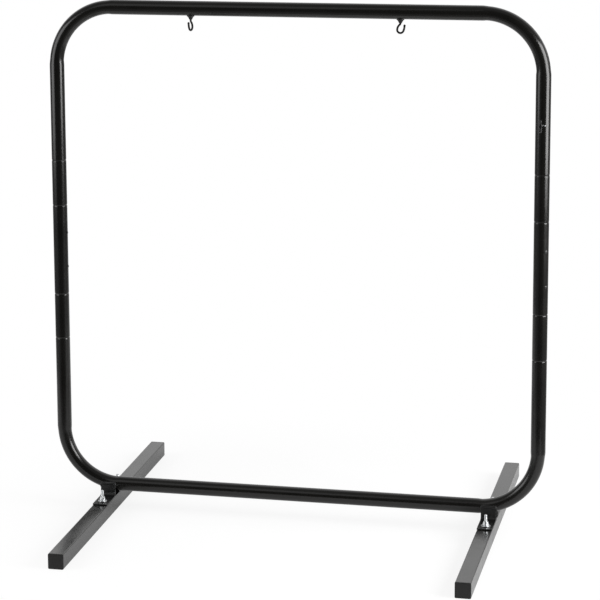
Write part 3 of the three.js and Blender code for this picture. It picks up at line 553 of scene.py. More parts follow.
# Plug joints

BUTTON_RADIUS = 4 * MM
BUTTON_DOME = 1.2 * MM
DOME_STEPS = 6
SPRING_WIDTH = 8 * MM
SPRING_THICKNESS = 0.8 * MM


def button_place(plug):
    """Middle of the tube at a button's height, with Z outwards through the button's hole."""
    joint = JOINTS[f"{plug}_button"]
    return facing(Vector(joint["pos_m"]), -Vector(joint["axis"]))


def spring_arm(place, root, low, high):
    """A flat strip that stands upright across a place's Z."""
    section = [(root, -1), (root, 1), (root + SPRING_THICKNESS, 1), (root + SPRING_THICKNESS, -1)]
    return joined([
        [place @ Vector((x, y * SPRING_WIDTH / 2, z)) for z, y in section] for x in (low, high)
    ])


class GONG_OT_sleeves(bpy.types.Operator):
    """Sleeves between the legs, with a hole for each button."""

    bl_idname = "gong.sleeves"
    bl_label = "Joint sleeves"

    def execute(self, context):
        sizes = context.scene.gong_sizes
        bore = TUBE_RADIUS - sizes.tube_wall
        for side, way in SIDES.items():
            node = f"{side}_joint_sleeve"
            low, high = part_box(node)
            wall = rim(TUBE_RADIUS, low.z, high.z, sizes.edge)
            profile = [(bore, low.z), *wall, (bore, high.z)]
            place = Matrix.Translation((way * UPRIGHT_X, 0, 0))
            piece = new_piece(f"{side}_sleeve_tube", turned(profile, TUBE_SIDES, place, True))
            cut(piece, [
                drill(BUTTON_RADIUS + CLEARANCE, bore / 2, TUBE_RADIUS * 2, SMALL_ROUND,
                      button_place(f"{side}_{level}"))
                for level in LEVELS
            ])
            set_piece(piece, node, TURNED_CREASE)
        return {"FINISHED"}


class GONG_OT_buttons(bpy.types.Operator):
    """Domed snap buttons on their spring arms, and the finish of springs and spigots."""

    bl_idname = "gong.buttons"
    bl_label = "Snap buttons"

    def execute(self, context):
        for plug in PLUGS:
            node = f"{plug}_snap_button"
            place = button_place(plug)
            heights = [height for height, _ in measured(node, place)]
            root, seat = min(heights), max(heights) - BUTTON_DOME
            dome = arc((0, 0), 1, 0, 90, DOME_STEPS)
            profile = [(0, root), (BUTTON_RADIUS, root)]
            profile += [(BUTTON_RADIUS * x, seat + BUTTON_DOME * z) for x, z in dome]
            head = turned(profile, SMALL_ROUND, place)
            low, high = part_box(node)
            level = place.translation.z
            arm = spring_arm(place, root, low.z - level, high.z - level)
            set_piece(new_piece(f"{node}_dome", head, arm), node, TURNED_CREASE)
            dress(f"{plug}_button_spring")
            dress(f"{plug}_spigot")
        return {"FINISHED"}


# Feet

CORNER_STEPS = 6
NECK_SIDE = 8 * MM
ACCESS_RADIUS = 11.5 * MM


def along_foot(node, stations):
    """Rings of outlines round a foot's middle line, each with its place along Y."""
    centre = middle(node)
    return [
        [Vector((centre.x + x, y, centre.z + z)) for x, z in outline] for outline, y in stations
    ]


class GONG_OT_feet(bpy.types.Operator):
    """Square tubes with square holes for the bolts' necks and access holes below."""

    bl_idname = "gong.feet"
    bl_label = "Feet"

    def execute(self, context):
        sizes = context.scene.gong_sizes
        edge = sizes.edge
        outline, inset, bore = (
            rounded(FOOT_SIDE - 2 * inside, FOOT_SIDE - 2 * inside, sizes.foot_corner - inside,
                    CORNER_STEPS)
            for inside in (0, edge, sizes.foot_wall)
        )
        for side in SIDES:
            node = f"{side}_foot_tube"
            low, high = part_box(node)
            half_way = middle(node).z
            rings = along_foot(node, [
                (bore, low.y), (inset, low.y), (outline, low.y + edge),
                (outline, high.y - edge), (inset, high.y), (bore, high.y),
            ])
            piece = new_piece(f"{side}_square_tube", joined(rings, True))
            cutters = []
            for end in ENDS:
                place = upright_at(f"{side}_{end}_carriage_bolt")
                punch = square_bar(NECK_SIDE + 2 * CLEARANCE, half_way, high.z + FOOT_SIDE, place)
                cutters.append(new_piece("punch", punch))
                cutters.append(drill(ACCESS_RADIUS, -FOOT_SIDE, half_way, LARGE_ROUND, place))
            cut(piece, cutters)
            set_piece(piece, node, FLAT_CREASE)
        return {"FINISHED"}


CAP_ROUNDING = 1.3 * MM
CAP_ROUNDING_STEPS = 5
CAP_FLANGE = 3 * MM
CAP_PLUG = 16 * MM
CAP_PLUG_INSET = 2.3 * MM
CAP_FINS = 3
CAP_FIN = 1.6 * MM


class GONG_OT_end_caps(bpy.types.Operator):
    """Moulded caps in the feet's ends, with finned plugs."""

    bl_idname = "gong.end_caps"
    bl_label = "End caps"

    def execute(self, context):
        corner = context.scene.gong_sizes.foot_corner
        plug_corner = corner - CAP_PLUG_INSET / 2
        plug = FOOT_SIDE - 2 * CAP_PLUG_INSET
        fin = plug + CAP_FIN / 2
        face = arc((CAP_ROUNDING, CAP_ROUNDING), CAP_ROUNDING, 270, 180, CAP_ROUNDING_STEPS)
        steps = [(FOOT_SIDE - 2 * inset, corner, depth) for inset, depth in face]
        steps += [(FOOT_SIDE, corner, CAP_FLANGE), (plug, plug_corner, CAP_FLANGE)]
        for k in range(1, CAP_FINS + 1):
            at = CAP_FLANGE + CAP_PLUG * k / (CAP_FINS + 1)
            for side, along in ((plug, -1), (fin, -0.5), (fin, 0.5), (plug, 1)):
                steps.append((side, plug_corner, at + along * CAP_FIN))
        steps.append((plug, plug_corner, CAP_FLANGE + CAP_PLUG))
        for foot_end, way in FOOT_ENDS.items():
            node = f"{foot_end}_end_cap"
            low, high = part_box(node)
            face_y = low.y if way < 0 else high.y
            rings = along_foot(node, [
                (rounded(side, side, radius, CORNER_STEPS), face_y - way * depth)
                for side, radius, depth in steps
            ])
            set_piece(new_piece(f"{node}_moulding", joined(rings)), node, TURNED_CREASE)
        return {"FINISHED"}


# Brackets, bolts and washers

PLATE_THICKNESS = 3 * MM
PLATE_INNER_BEND = 9 * MM
PLATE_BEND_STEPS = 8
PLATE_CORNER = 3 * MM
PLATE_CORNER_STEPS = 6
PLATE_ABOVE_AXIS = 4 * MM
PLATE_EDGE = 0.5 * MM
PLATE_EDGE_SHARE = 0.8  # of the rounding, across the plate
BEAD_HALF_HEIGHT = 5.2 * MM
BEAD_HALF_DEPTH = 3.6 * MM
BEAD_OVERHANG = 1.2 * MM
BEAD_DROP = 1 * MM
BEAD_BACK = 1.1 * MM
BEAD_RIPPLE = 2.6 * MM
BEAD_RIPPLE_DEPTH = 0.035  # of the bead's half-width
BEAD_RIPPLE_RINGS = 6
BEAD_BLUNTNESS = 14  # a higher power makes blunter ends
BEAD_TIP_AREA = 0.02  # of the full section, left at the very ends
BEAD_SIDES = 16
SIDE_BEAD_LENGTH = 11 * MM
SIDE_BEAD_RADIUS = 2.2 * MM


def plate_path(y_back, z_under, y_end, way):
    """Middle line of the plate from its top to its free edge: y, z and the way across it."""
    y_mid = y_back + way * PLATE_THICKNESS / 2
    z_mid = z_under + PLATE_THICKNESS / 2
    bend = PLATE_INNER_BEND + PLATE_THICKNESS / 2
    top = BOTTOM_Z + PLATE_ABOVE_AXIS
    rows = [(y_mid, z, (way, 0)) for z in (top, top - PLATE_EDGE, z_mid + bend)]
    for k in range(1, PLATE_BEND_STEPS + 1):
        turn = math.pi / 2 * k / PLATE_BEND_STEPS
        cos, sin = math.cos(turn), math.sin(turn)
        rows.append((y_mid + way * bend * (1 - cos), z_mid + bend * (1 - sin), (way * cos, sin)))
    corner_start = y_end - way * PLATE_CORNER
    for k in range(PLATE_CORNER_STEPS + 1):
        past = PLATE_CORNER * math.sin(math.pi / 2 * k / PLATE_CORNER_STEPS)
        rows.append((corner_start + way * past, z_mid, (0, 1)))
    return rows, corner_start


def bracket_plate(node, way):
    """Points and faces of a bent plate, thinned round its edges and free corners."""
    low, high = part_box(node)
    y_back, y_end = (high.y, low.y) if way < 0 else (low.y, high.y)
    centre_x = middle(node).x
    rows, corner_start = plate_path(y_back, low.z, y_end, way)
    rings = []
    for i, (y, z, (ay, az)) in enumerate(rows):
        past = min(max(way * (y - corner_start), 0), PLATE_CORNER)
        shrink = PLATE_CORNER - math.sqrt(PLATE_CORNER ** 2 - past ** 2)
        from_end = PLATE_CORNER - past if i else 0
        slim = PLATE_EDGE - math.sqrt(PLATE_EDGE ** 2 - max(PLATE_EDGE - from_end, 0) ** 2)
        width = high.x - low.x - 2 * (shrink + slim)
        thickness = PLATE_THICKNESS - 2 * slim
        edge = min(PLATE_EDGE, thickness / 2) * PLATE_EDGE_SHARE
        section = rounded(width, thickness, edge, EDGE_STEPS)
        rings.append([Vector((centre_x + x, y + ay * t, z + az * t)) for x, t in section])
    return joined(rings)


def bead(start, end, half_across, half_up):
    """A rippled bead of weld between two places, with blunt ends."""
    run = end - start
    up = run.normalized().cross(Y_AXIS)
    count = int(run.length / BEAD_RIPPLE * BEAD_RIPPLE_RINGS)
    rings = []
    for k in range(count + 1):
        share = k / count
        cap = math.sqrt(max(1 - (2 * share - 1) ** BEAD_BLUNTNESS, BEAD_TIP_AREA))
        ripple = math.cos(math.tau * share * run.length / BEAD_RIPPLE)
        swell = cap * (1 + BEAD_RIPPLE_DEPTH * ripple)
        across, rise = Y_AXIS * (half_across * swell), up * (half_up * swell)
        rings.append(circle(start + run * share, across, rise, BEAD_SIDES))
    return joined(rings)


def weld_beads(node, way):
    """Weld along the plate's top edge, laid against the tube, and down both its sides."""
    low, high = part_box(node)
    y = (high.y if way < 0 else low.y) + way * BEAD_BACK
    top = BOTTOM_Z + PLATE_ABOVE_AXIS
    ends = [
        Vector((x, y, top - BEAD_DROP)) for x in (low.x - BEAD_OVERHANG, high.x + BEAD_OVERHANG)
    ]
    beads = [bead(*ends, BEAD_HALF_DEPTH, BEAD_HALF_HEIGHT)]
    for x in (low.x, high.x):
        place = Vector((x, y, top))
        foot = place - Z_AXIS * SIDE_BEAD_LENGTH
        beads.append(bead(place, foot, SIDE_BEAD_RADIUS, SIDE_BEAD_RADIUS))
    return beads


class GONG_OT_brackets(bpy.types.Operator):
    """Bent plates between the bottom tube and the feet, with their weld beads."""

    bl_idname = "gong.brackets"
    bl_label = "Brackets"

    def execute(self, context):
        for foot_end, way in FOOT_ENDS.items():
            node = f"{foot_end}_bracket"
            piece = new_piece(f"{node}_plate", bracket_plate(node, way), *weld_beads(node, way))
            set_piece(piece, node, PLATE_CREASE)
        return {"FINISHED"}


BOLT_RADIUS = 4 * MM
HEAD_RADIUS = 10 * MM
HEAD_HEIGHT = 4.2 * MM
HEAD_STEPS = 8
NECK_OVERLAP = HEAD_HEIGHT / 4
THREAD_ROWS = 6
THREAD_SIDES = 24
THREAD_DEPTH = 0.7 * MM
THREAD_OVERLAP = 1 * MM
THREAD_POINT = 1 * MM
WASHER_EDGE = 0.4 * MM


def threaded(place, bottom, top, radius, pitch, depth):
    """A threaded rod with a bevelled end: the ridge climbs by one pitch a turn."""
    rows = int((top - bottom) / pitch * THREAD_ROWS)
    rings = [[place @ Vector((0, 0, bottom))] * THREAD_SIDES]
    for j in range(rows + 1):
        z = bottom + (top - bottom) * j / rows
        bevelled = radius - max(THREAD_POINT - (top - z), 0)
        ring = []
        for k in range(THREAD_SIDES):
            phase = (z / pitch - k / THREAD_SIDES) % 1
            r = min(radius - depth * abs(2 * phase - 1), bevelled)
            turn = math.tau * k / THREAD_SIDES
            ring.append(place @ Vector((r * math.cos(turn), r * math.sin(turn), z)))
        rings.append(ring)
    rings.append([place @ Vector((0, 0, top))] * THREAD_SIDES)
    return joined(rings)


class GONG_OT_bolts(bpy.types.Operator):
    """Carriage bolts and their washers."""

    bl_idname = "gong.bolts"
    bl_label = "Bolts and washers"

    def execute(self, context):
        for foot_end in FOOT_ENDS:
            self.add_bolt(f"{foot_end}_carriage_bolt", context.scene.gong_sizes.thread_pitch)
            self.add_washer(f"{foot_end}_washer")
        return {"FINISHED"}

    def add_bolt(self, node, pitch):
        """A domed head, a square neck in the foot and a thread above it."""
        low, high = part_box(node)
        place = upright_at(node)
        seat = low.z + HEAD_HEIGHT
        head = [(0, low.z)]
        for k in range(1, HEAD_STEPS + 1):
            turn = math.pi / 2 * k / HEAD_STEPS
            head.append((HEAD_RADIUS * math.sin(turn), seat - HEAD_HEIGHT * math.cos(turn)))
        head.append((0, seat))
        neck_top = FOOT_HIGH.z
        neck = square_bar(NECK_SIDE, seat - NECK_OVERLAP, neck_top, place)
        bottom = neck_top - THREAD_OVERLAP
        thread = threaded(place, bottom, high.z, BOLT_RADIUS, pitch, THREAD_DEPTH)
        piece = new_piece(f"{node}_turned", turned(head, MIDDLE_ROUND, place), neck, thread)
        set_piece(piece, node, TURNED_CREASE)

    def add_washer(self, node):
        """A flat ring with rounded rims."""
        low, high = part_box(node)
        radius = (high.x - low.x) / 2
        bore = BOLT_RADIUS + CLEARANCE
        bevel = WASHER_EDGE / 2
        profile = [(bore, low.z + bevel), (bore + bevel, low.z)]
        profile += rim(radius, low.z, high.z, WASHER_EDGE)
        profile += [(bore + bevel, high.z), (bore, high.z - bevel)]
        ring = turned(profile, RIM_ROUND, upright_at(node), True)
        set_piece(new_piece(f"{node}_pressed", ring), node, TURNED_CREASE)


# Wing nuts and wing knob, in millimetres from the middle of the seat

NUT_WINGS = {
    "hub_radius": 8.0, "hub_top_radius": 6.2, "hub_height": 9.5,
    "lobe_radius": 6.2, "lobe_reach": 13.0, "lobe_height": 13.8,
    "root": 5.0, "foot": 1.5, "thickness": 3.6, "rounds": 4,
}
KNOB_WINGS = {
    "hub_radius": 5.0, "hub_top_radius": 4.4, "hub_height": 11.0,
    "lobe_radius": 4.6, "lobe_reach": 12.4, "lobe_height": 8.6,
    "root": 3.4, "foot": 2.4, "thickness": 6.4, "rounds": 5,
}
LOBE_START, LOBE_END, LOBE_STEPS = -45, 162, 14
RECESS_RADIUS = 3.9
RECESS_DEPTH = 0.8
RECESS_SIDES = 24
VOXEL = 0.42
SOFTENING = 0.5  # share of the way to its neighbours that a point moves in a round
WING_TIP = 0.3 * MM


def wing_outline(wings):
    """One wing seen from its side, as (reach, height)."""
    top = wings["hub_height"] - wings["foot"]
    lobe = arc((wings["lobe_reach"], wings["lobe_height"]), wings["lobe_radius"],
               LOBE_START, LOBE_END, LOBE_STEPS)
    return [(0, wings["foot"]), (wings["hub_radius"], wings["foot"]), *lobe,
            (wings["root"], top), (0, top)]


def slab(outline, thickness, place, way):
    """An outline in a place's X and Z given a thickness along its Y."""
    return joined([
        [place @ Vector((way * x * MM, y * thickness / 2 * MM, z * MM)) for x, z in outline]
        for y in (-1, 1)
    ])


def remesh(piece):
    """Runs a piece's parts together on a grid of small cells."""
    modifier = piece.modifiers.new("remesh", "REMESH")
    modifier.mode = "VOXEL"
    modifier.voxel_size = VOXEL * MM
    apply_modifiers(piece)


def wing_body(name, wings, place, recessed):
    """Hub and two wings run together with soft fillets, as a casting or moulding has them."""
    hub = [
        (0, 0), (wings["hub_radius"] * MM, 0),
        (wings["hub_top_radius"] * MM, wings["hub_height"] * MM), (0, wings["hub_height"] * MM),
    ]
    outline = wing_outline(wings)
    blades = [slab(outline, wings["thickness"], place, way) for way in (1, -1)]
    piece = new_piece(name, turned(hub, LARGE_ROUND, place), *blades)
    if recessed:
        lobe = (wings["lobe_reach"], wings["lobe_height"])
        outline = arc(lobe, RECESS_RADIUS, 0, 360, RECESS_SIDES)[:-1]
        remesh(piece)
        recesses = []
        for face in (1, -1):
            shift = Matrix.Translation((0, face * wings["thickness"] / 2 * MM, 0))
            for way in (1, -1):
                pocket = slab(outline, RECESS_DEPTH * 2, place @ shift, way)
                recesses.append(new_piece("recess", pocket))
        cut(piece, recesses)
    remesh(piece)
    soften = piece.modifiers.new("soften", "SMOOTH")
    soften.factor = SOFTENING
    soften.iterations = wings["rounds"]
    apply_modifiers(piece)
    return piece


def wing_turn(node, centre):
    """An upright place with X along a nut's wings, found from the node's corners."""
    flat = [v.co - centre for v in frame["nodes"][node].data.vertices]
    flat = [corner - Z_AXIS * corner.z for corner in flat]
    far = max(flat, key=lambda corner: corner.length)
    tip = [c for c in flat if c.length > far.length - WING_TIP and c.dot(far) > 0]
    return facing(centre, Z_AXIS, sum(tip, Vector()) / len(tip))


class GONG_OT_wing_nuts(bpy.types.Operator):
    """Die-cast wing nuts."""

    bl_idname = "gong.wing_nuts"
    bl_label = "Wing nuts"

    def execute(self, context):
        reach = NUT_WINGS["hub_height"] * 2 * MM
        for foot_end in FOOT_ENDS:
            node = f"{foot_end}_wing_nut"
            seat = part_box(node)[0].z
            place = wing_turn(node, upright_at(node).translation + Z_AXIS * seat)
            piece = wing_body(f"{node}_casting", NUT_WINGS, place, True)
            cut(piece, [drill(BOLT_RADIUS + CLEARANCE / 2, -reach, reach, MIDDLE_ROUND, place)])
            set_piece(piece, node, CAST_CREASE, "cast_zinc")
        return {"FINISHED"}


SCREW_RADIUS = 2.6 * MM
SCREW_PITCH = 0.8 * MM
SCREW_DEPTH = 0.45 * MM
INSERT_BORE = 2.85 * MM
INSERT_FLANGE = 1.2 * MM
INSERT_EDGE = 0.3 * MM
INSERT_START = 1 * MM
RIVET_SEAT = 0.1 * MM
RIVET_TAIL = 3 * MM
RIVET_BULGE = 0.6 * MM
RIVET_SHARES = (0.8, 0.9, 0.6)  # of the head's radius: the tail's end, its widest and the shank
RIVET_STEPS = 6


class GONG_OT_knob(bpy.types.Operator):
    """Wing knob on the right upright, with its insert and rivet."""

    bl_idname = "gong.knob"
    bl_label = "Wing knob"

    def execute(self, context):
        centre = Vector(JOINTS["knob"]["pos_m"])
        axis = Vector(JOINTS["knob"]["axis"]).normalized()
        on_tube = facing(centre, axis)
        points = measured("wing_knob", on_tube)
        seat = min(height for height, radius in points if radius > INSERT_BORE)
        tail = min(height for height, _ in points)
        place = facing(centre + axis * seat, axis)
        knob = wing_body("wing_knob_moulding", KNOB_WINGS, place, False)
        set_piece(knob, "wing_knob", CAST_CREASE, "knob_plastic")
        self.add_screw(place, tail - seat)
        self.add_insert(on_tube)
        self.add_rivet()
        return {"FINISHED"}

    def add_screw(self, place, tail):
        """The knob's zinc-plated screw, which turns with it."""
        top = KNOB_WINGS["hub_height"] / 2 * MM
        screw = threaded(place, tail, top, SCREW_RADIUS, SCREW_PITCH, SCREW_DEPTH)
        piece = new_piece("wing_knob_screw", screw)
        shade(piece, TURNED_CREASE)
        piece.data.materials.append(MATERIALS["zinc"])
        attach(piece, BODY_OF["wing_knob"])

    def add_insert(self, place):
        """The flanged nut in the tube's wall that the screw turns in."""
        points = measured("knob_insert", place)
        start, face = min(points)[0], max(points)[0]
        flange = max(radius for _, radius in points)
        body = max(radius for height, radius in points if height < start + INSERT_START)
        seat = face - INSERT_FLANGE
        profile = [(INSERT_BORE, start), (body, start), (body, seat), (flange, seat)]
        inside = (flange - INSERT_EDGE, face - INSERT_EDGE)
        profile += arc(inside, INSERT_EDGE, 0, 90, EDGE_STEPS)
        profile.append((INSERT_BORE, face))
        piece = new_piece("knob_insert_turned", turned(profile, MIDDLE_ROUND, place, True))
        set_piece(piece, "knob_insert", TURNED_CREASE)

    def add_rivet(self):
        """A domed head on the tube, with the rivet's swollen tail inside it."""
        node = "insert_rivet"
        upright = Vector((UPRIGHT_X, 0, middle(node).z))
        corners = [v.co - upright for v in frame["nodes"][node].data.vertices]
        outer = max(corners, key=lambda corner: corner.length)
        place = facing(upright, Vector((outer.x, outer.y, 0)))
        points = measured(node, place)
        tail, top = min(points)[0], max(points)[0]
        head = max(radius for _, radius in points)
        end, widest, shank = (head * share for share in RIVET_SHARES)
        seat = TUBE_RADIUS + RIVET_SEAT
        inside = tail + RIVET_TAIL
        profile = [(0, tail), (end, tail + RIVET_BULGE), (widest, inside), (shank, inside),
                   (shank, seat)]
        dome = arc((0, 0), 1, 0, 90, RIVET_STEPS)
        profile += [(head * x, seat + (top - seat) * z) for x, z in dome]
        piece = new_piece("insert_rivet_head", turned(profile, SMALL_ROUND, place))
        set_piece(piece, node, TURNED_CREASE, "rivet_nickel")


# Hooks, below the top tube's axis

ROD_RADIUS = 2.6 * MM
ROD_SIDES = 20
SHANK_TOP = 11.5 * MM
NECK_START = (0, -29.3 * MM)
NECK_BEND = (0, -31.2 * MM)
SHOULDER = (-2.2 * MM, -33.1 * MM)
BACK_BEND = (-8.1 * MM, -38.6 * MM)
BACK = (-8.1 * MM, -46.1 * MM)
LOOP_RADIUS = 7.9 * MM
LOOP_EXIT = 300
TIP_BEND = (9.6 * MM, -49.5 * MM)
TIP = (10.5 * MM, -35.2 * MM)
TIP_RADIUS = 3.05 * MM
TIP_START = 45  # degrees round the tip's ball at which it leaves the rod
TIP_END = 0.02 * MM
NECK_STEPS, BACK_STEPS, LOOP_STEPS, RISE_STEPS, TIP_STEPS = 8, 12, 16, 14, 9
FERRULE_RIM = 10 * MM
FERRULE_RIM_DEPTH = 20.3 * MM
FERRULE_LENGTH = 8.7 * MM
FERRULE_BORE = 2.95 * MM
FERRULE_NECK_WALL = 0.9 * MM
FERRULE_EDGE = 0.3 * MM
FLARE_STEPS = 14
RIM_ROUNDING = 0.5 * MM
SEAT_GAP = 0.3 * MM


def bow(start, bend, end, steps):
    """Points of a curve that leaves its start towards the bend and comes from it to its end."""
    points = []
    for k in range(steps + 1):
        t = k / steps
        shares = ((1 - t) ** 2, 2 * t * (1 - t), t * t)
        points.append(tuple(
            sum(w * p for w, p in zip(shares, place)) for place in zip(start, bend, end)
        ))
    return points


def hook_line():
    """Middle line of a hook in its own plane, and the rod's radius there, with a ball tip."""
    points = [(0, -SHANK_TOP)]
    points += bow(NECK_START, NECK_BEND, SHOULDER, NECK_STEPS)
    points += bow(SHOULDER, BACK_BEND, BACK, BACK_STEPS)[1:]
    points += arc((BACK[0] + LOOP_RADIUS, BACK[1]), LOOP_RADIUS, 180, LOOP_EXIT, LOOP_STEPS)[1:]
    points += bow(points[-1], TIP_BEND, TIP, RISE_STEPS)[1:]
    line = [(point, ROD_RADIUS) for point in points if math.dist(point, TIP) > TIP_RADIUS]
    ahead = (Vector(TIP) - Vector(TIP_BEND)).normalized()
    for k in range(1, TIP_STEPS + 1):
        turn = math.radians(TIP_START + (180 - TIP_START) * k / TIP_STEPS)
        place = Vector(TIP) - ahead * (TIP_RADIUS * math.cos(turn))
        line.append((tuple(place), max(TIP_RADIUS * math.sin(turn), TIP_END)))
    return line


def hook_rings(place):
    """Rings along the rod, each square to the line."""
    line = hook_line()
    rings = []
    for i, ((x, z), radius) in enumerate(line):
        x0, z0 = line[max(i - 1, 0)][0]
        x1, z1 = line[min(i + 1, len(line) - 1)][0]
        across = Vector((z0 - z1, 0, x1 - x0)).normalized()
        ring = circle(Vector((x, 0, z)), across * radius, Y_AXIS * radius, ROD_SIDES)
        rings.append([place @ point for point in ring])
    return rings


def hook_turn(node, centre):
    """Direction in which a hook's tip points, found from its node's corners."""
    corners = [v.co - centre for v in frame["nodes"][node].data.vertices]
    tip = [
        c for c in corners if abs(c.z - TIP[1]) < TIP_RADIUS and math.hypot(c.x, c.y) > TIP[0]
    ]
    mean = sum(tip, Vector()) / len(tip)
    return math.atan2(mean.y, mean.x)


def ferrule(centre):
    """Points and faces of a flared bush whose rim follows the tube's underside."""
    turns = [math.tau * k / RIM_ROUND for k in range(RIM_ROUND)]
    neck = FERRULE_BORE + FERRULE_NECK_WALL
    bottom = -FERRULE_RIM_DEPTH - FERRULE_LENGTH
    outside = [(FERRULE_BORE + FERRULE_EDGE, bottom), (neck, bottom + FERRULE_EDGE)]
    for k in range(1, FLARE_STEPS + 1):
        rise = k / FLARE_STEPS
        flare = (rise + 1 - math.sqrt(1 - rise ** 2)) / 2
        depth = -FERRULE_RIM_DEPTH - (FERRULE_LENGTH - FERRULE_EDGE) * (1 - rise)
        outside.append((neck + (FERRULE_RIM - neck) * flare, depth))
    rings = [
        [centre + Vector((radius * math.cos(t), radius * math.sin(t), z)) for t in turns]
        for radius, z in [(FERRULE_BORE, bottom), *outside]
    ]
    top = [(FERRULE_RIM, RIM_ROUNDING), (FERRULE_RIM - RIM_ROUNDING, 0), (neck, 0),
           (FERRULE_BORE, 0)]
    for radius, lower in top:
        ring = []
        for t in turns:
            x, y = radius * math.cos(t), radius * math.sin(t)
            z = -math.sqrt((TUBE_RADIUS + SEAT_GAP) ** 2 - y ** 2) - lower
            ring.append(centre + Vector((x, y, z)))
        rings.append(ring)
    return joined(rings, True)


class GONG_OT_hooks(bpy.types.Operator):
    """Gong hooks, the trumpet-shaped ferrules above them and the finish of their nuts."""

    bl_idname = "gong.hooks"
    bl_label = "Hooks"

    def execute(self, context):
        for side in SIDES:
            node = f"{side}_hook"
            centre = Vector(JOINTS[f"{side}_gong_hook"]["pos_m"])
            centre.z = TOP_Z
            hang = Vector((centre.x, centre.y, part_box(node)[1].z + SHANK_TOP))
            place = Matrix.Translation(hang) @ Matrix.Rotation(hook_turn(node, hang), 4, "Z")
            rod = new_piece(f"{node}_rod", joined(hook_rings(place)))
            set_piece(rod, node, BENT_CREASE)
            trumpet = new_piece(f"{side}_ferrule_trumpet", ferrule(centre))
            set_piece(trumpet, f"{side}_hook_ferrule", BENT_CREASE)
            dress(f"{side}_hook_nut")
        return {"FINISHED"}


# Stage

FLOOR_LEFT, FLOOR_RIGHT = -2.0, 1.25
FLOOR_NEAR, FLOOR_FAR = -0.72, 3.4
FLOOR_FADE = 1.1  # distance from the middle at which the camera sees pure white
CAMERA_PLACE = Vector((1.26037, -6.15677, 2.06115))
CAMERA_YAW = 0.24065  # radians to the left
CAMERA_PITCH = 0.18704  # radians down
CAMERA_ROLL = 0.01098  # radians
SENSOR_WIDTH_MM = 36
LENS_MM = 149.1
LENS_SHIFT = (0.16576, -0.17287)
FAR_CLIP = 200
SOFTBOXES = {
    # name: (place, aim, width, height, radiance)
    "right_softbox": ((2.59, -0.52, 1.4), (0.6, 0.0, 1.2), 1.6, 1.7, 10),
    "left_softbox": ((-2.54, -1.2, 1.4), (-0.6, 0.0, 1.2), 1.8, 1.7, 3),
    "front_softbox": ((-2.0, -4.2, 5.2), (0.0, 0.0, 1.2), 3.0, 3.2, 0.65),
}

# Where the world changes: how far back the wall starts, how high its foot, how near the camera
WALL_START, WALL_FULL = 0.2, 0.6
WALL_FOOT, WALL_RISEN = -0.04, 0.06
DARK_START, DARK_FULL = 0.5, 0.85


def mirrored_rays(tree, rays):
    """1 for what glossy and clear surfaces see, and 0 for all else."""
    return add_node(tree, "ShaderNodeMath", {"operation": "MAXIMUM"}, {
        0: rays.outputs["Is Glossy Ray"], 1: rays.outputs["Is Transmission Ray"],
    })


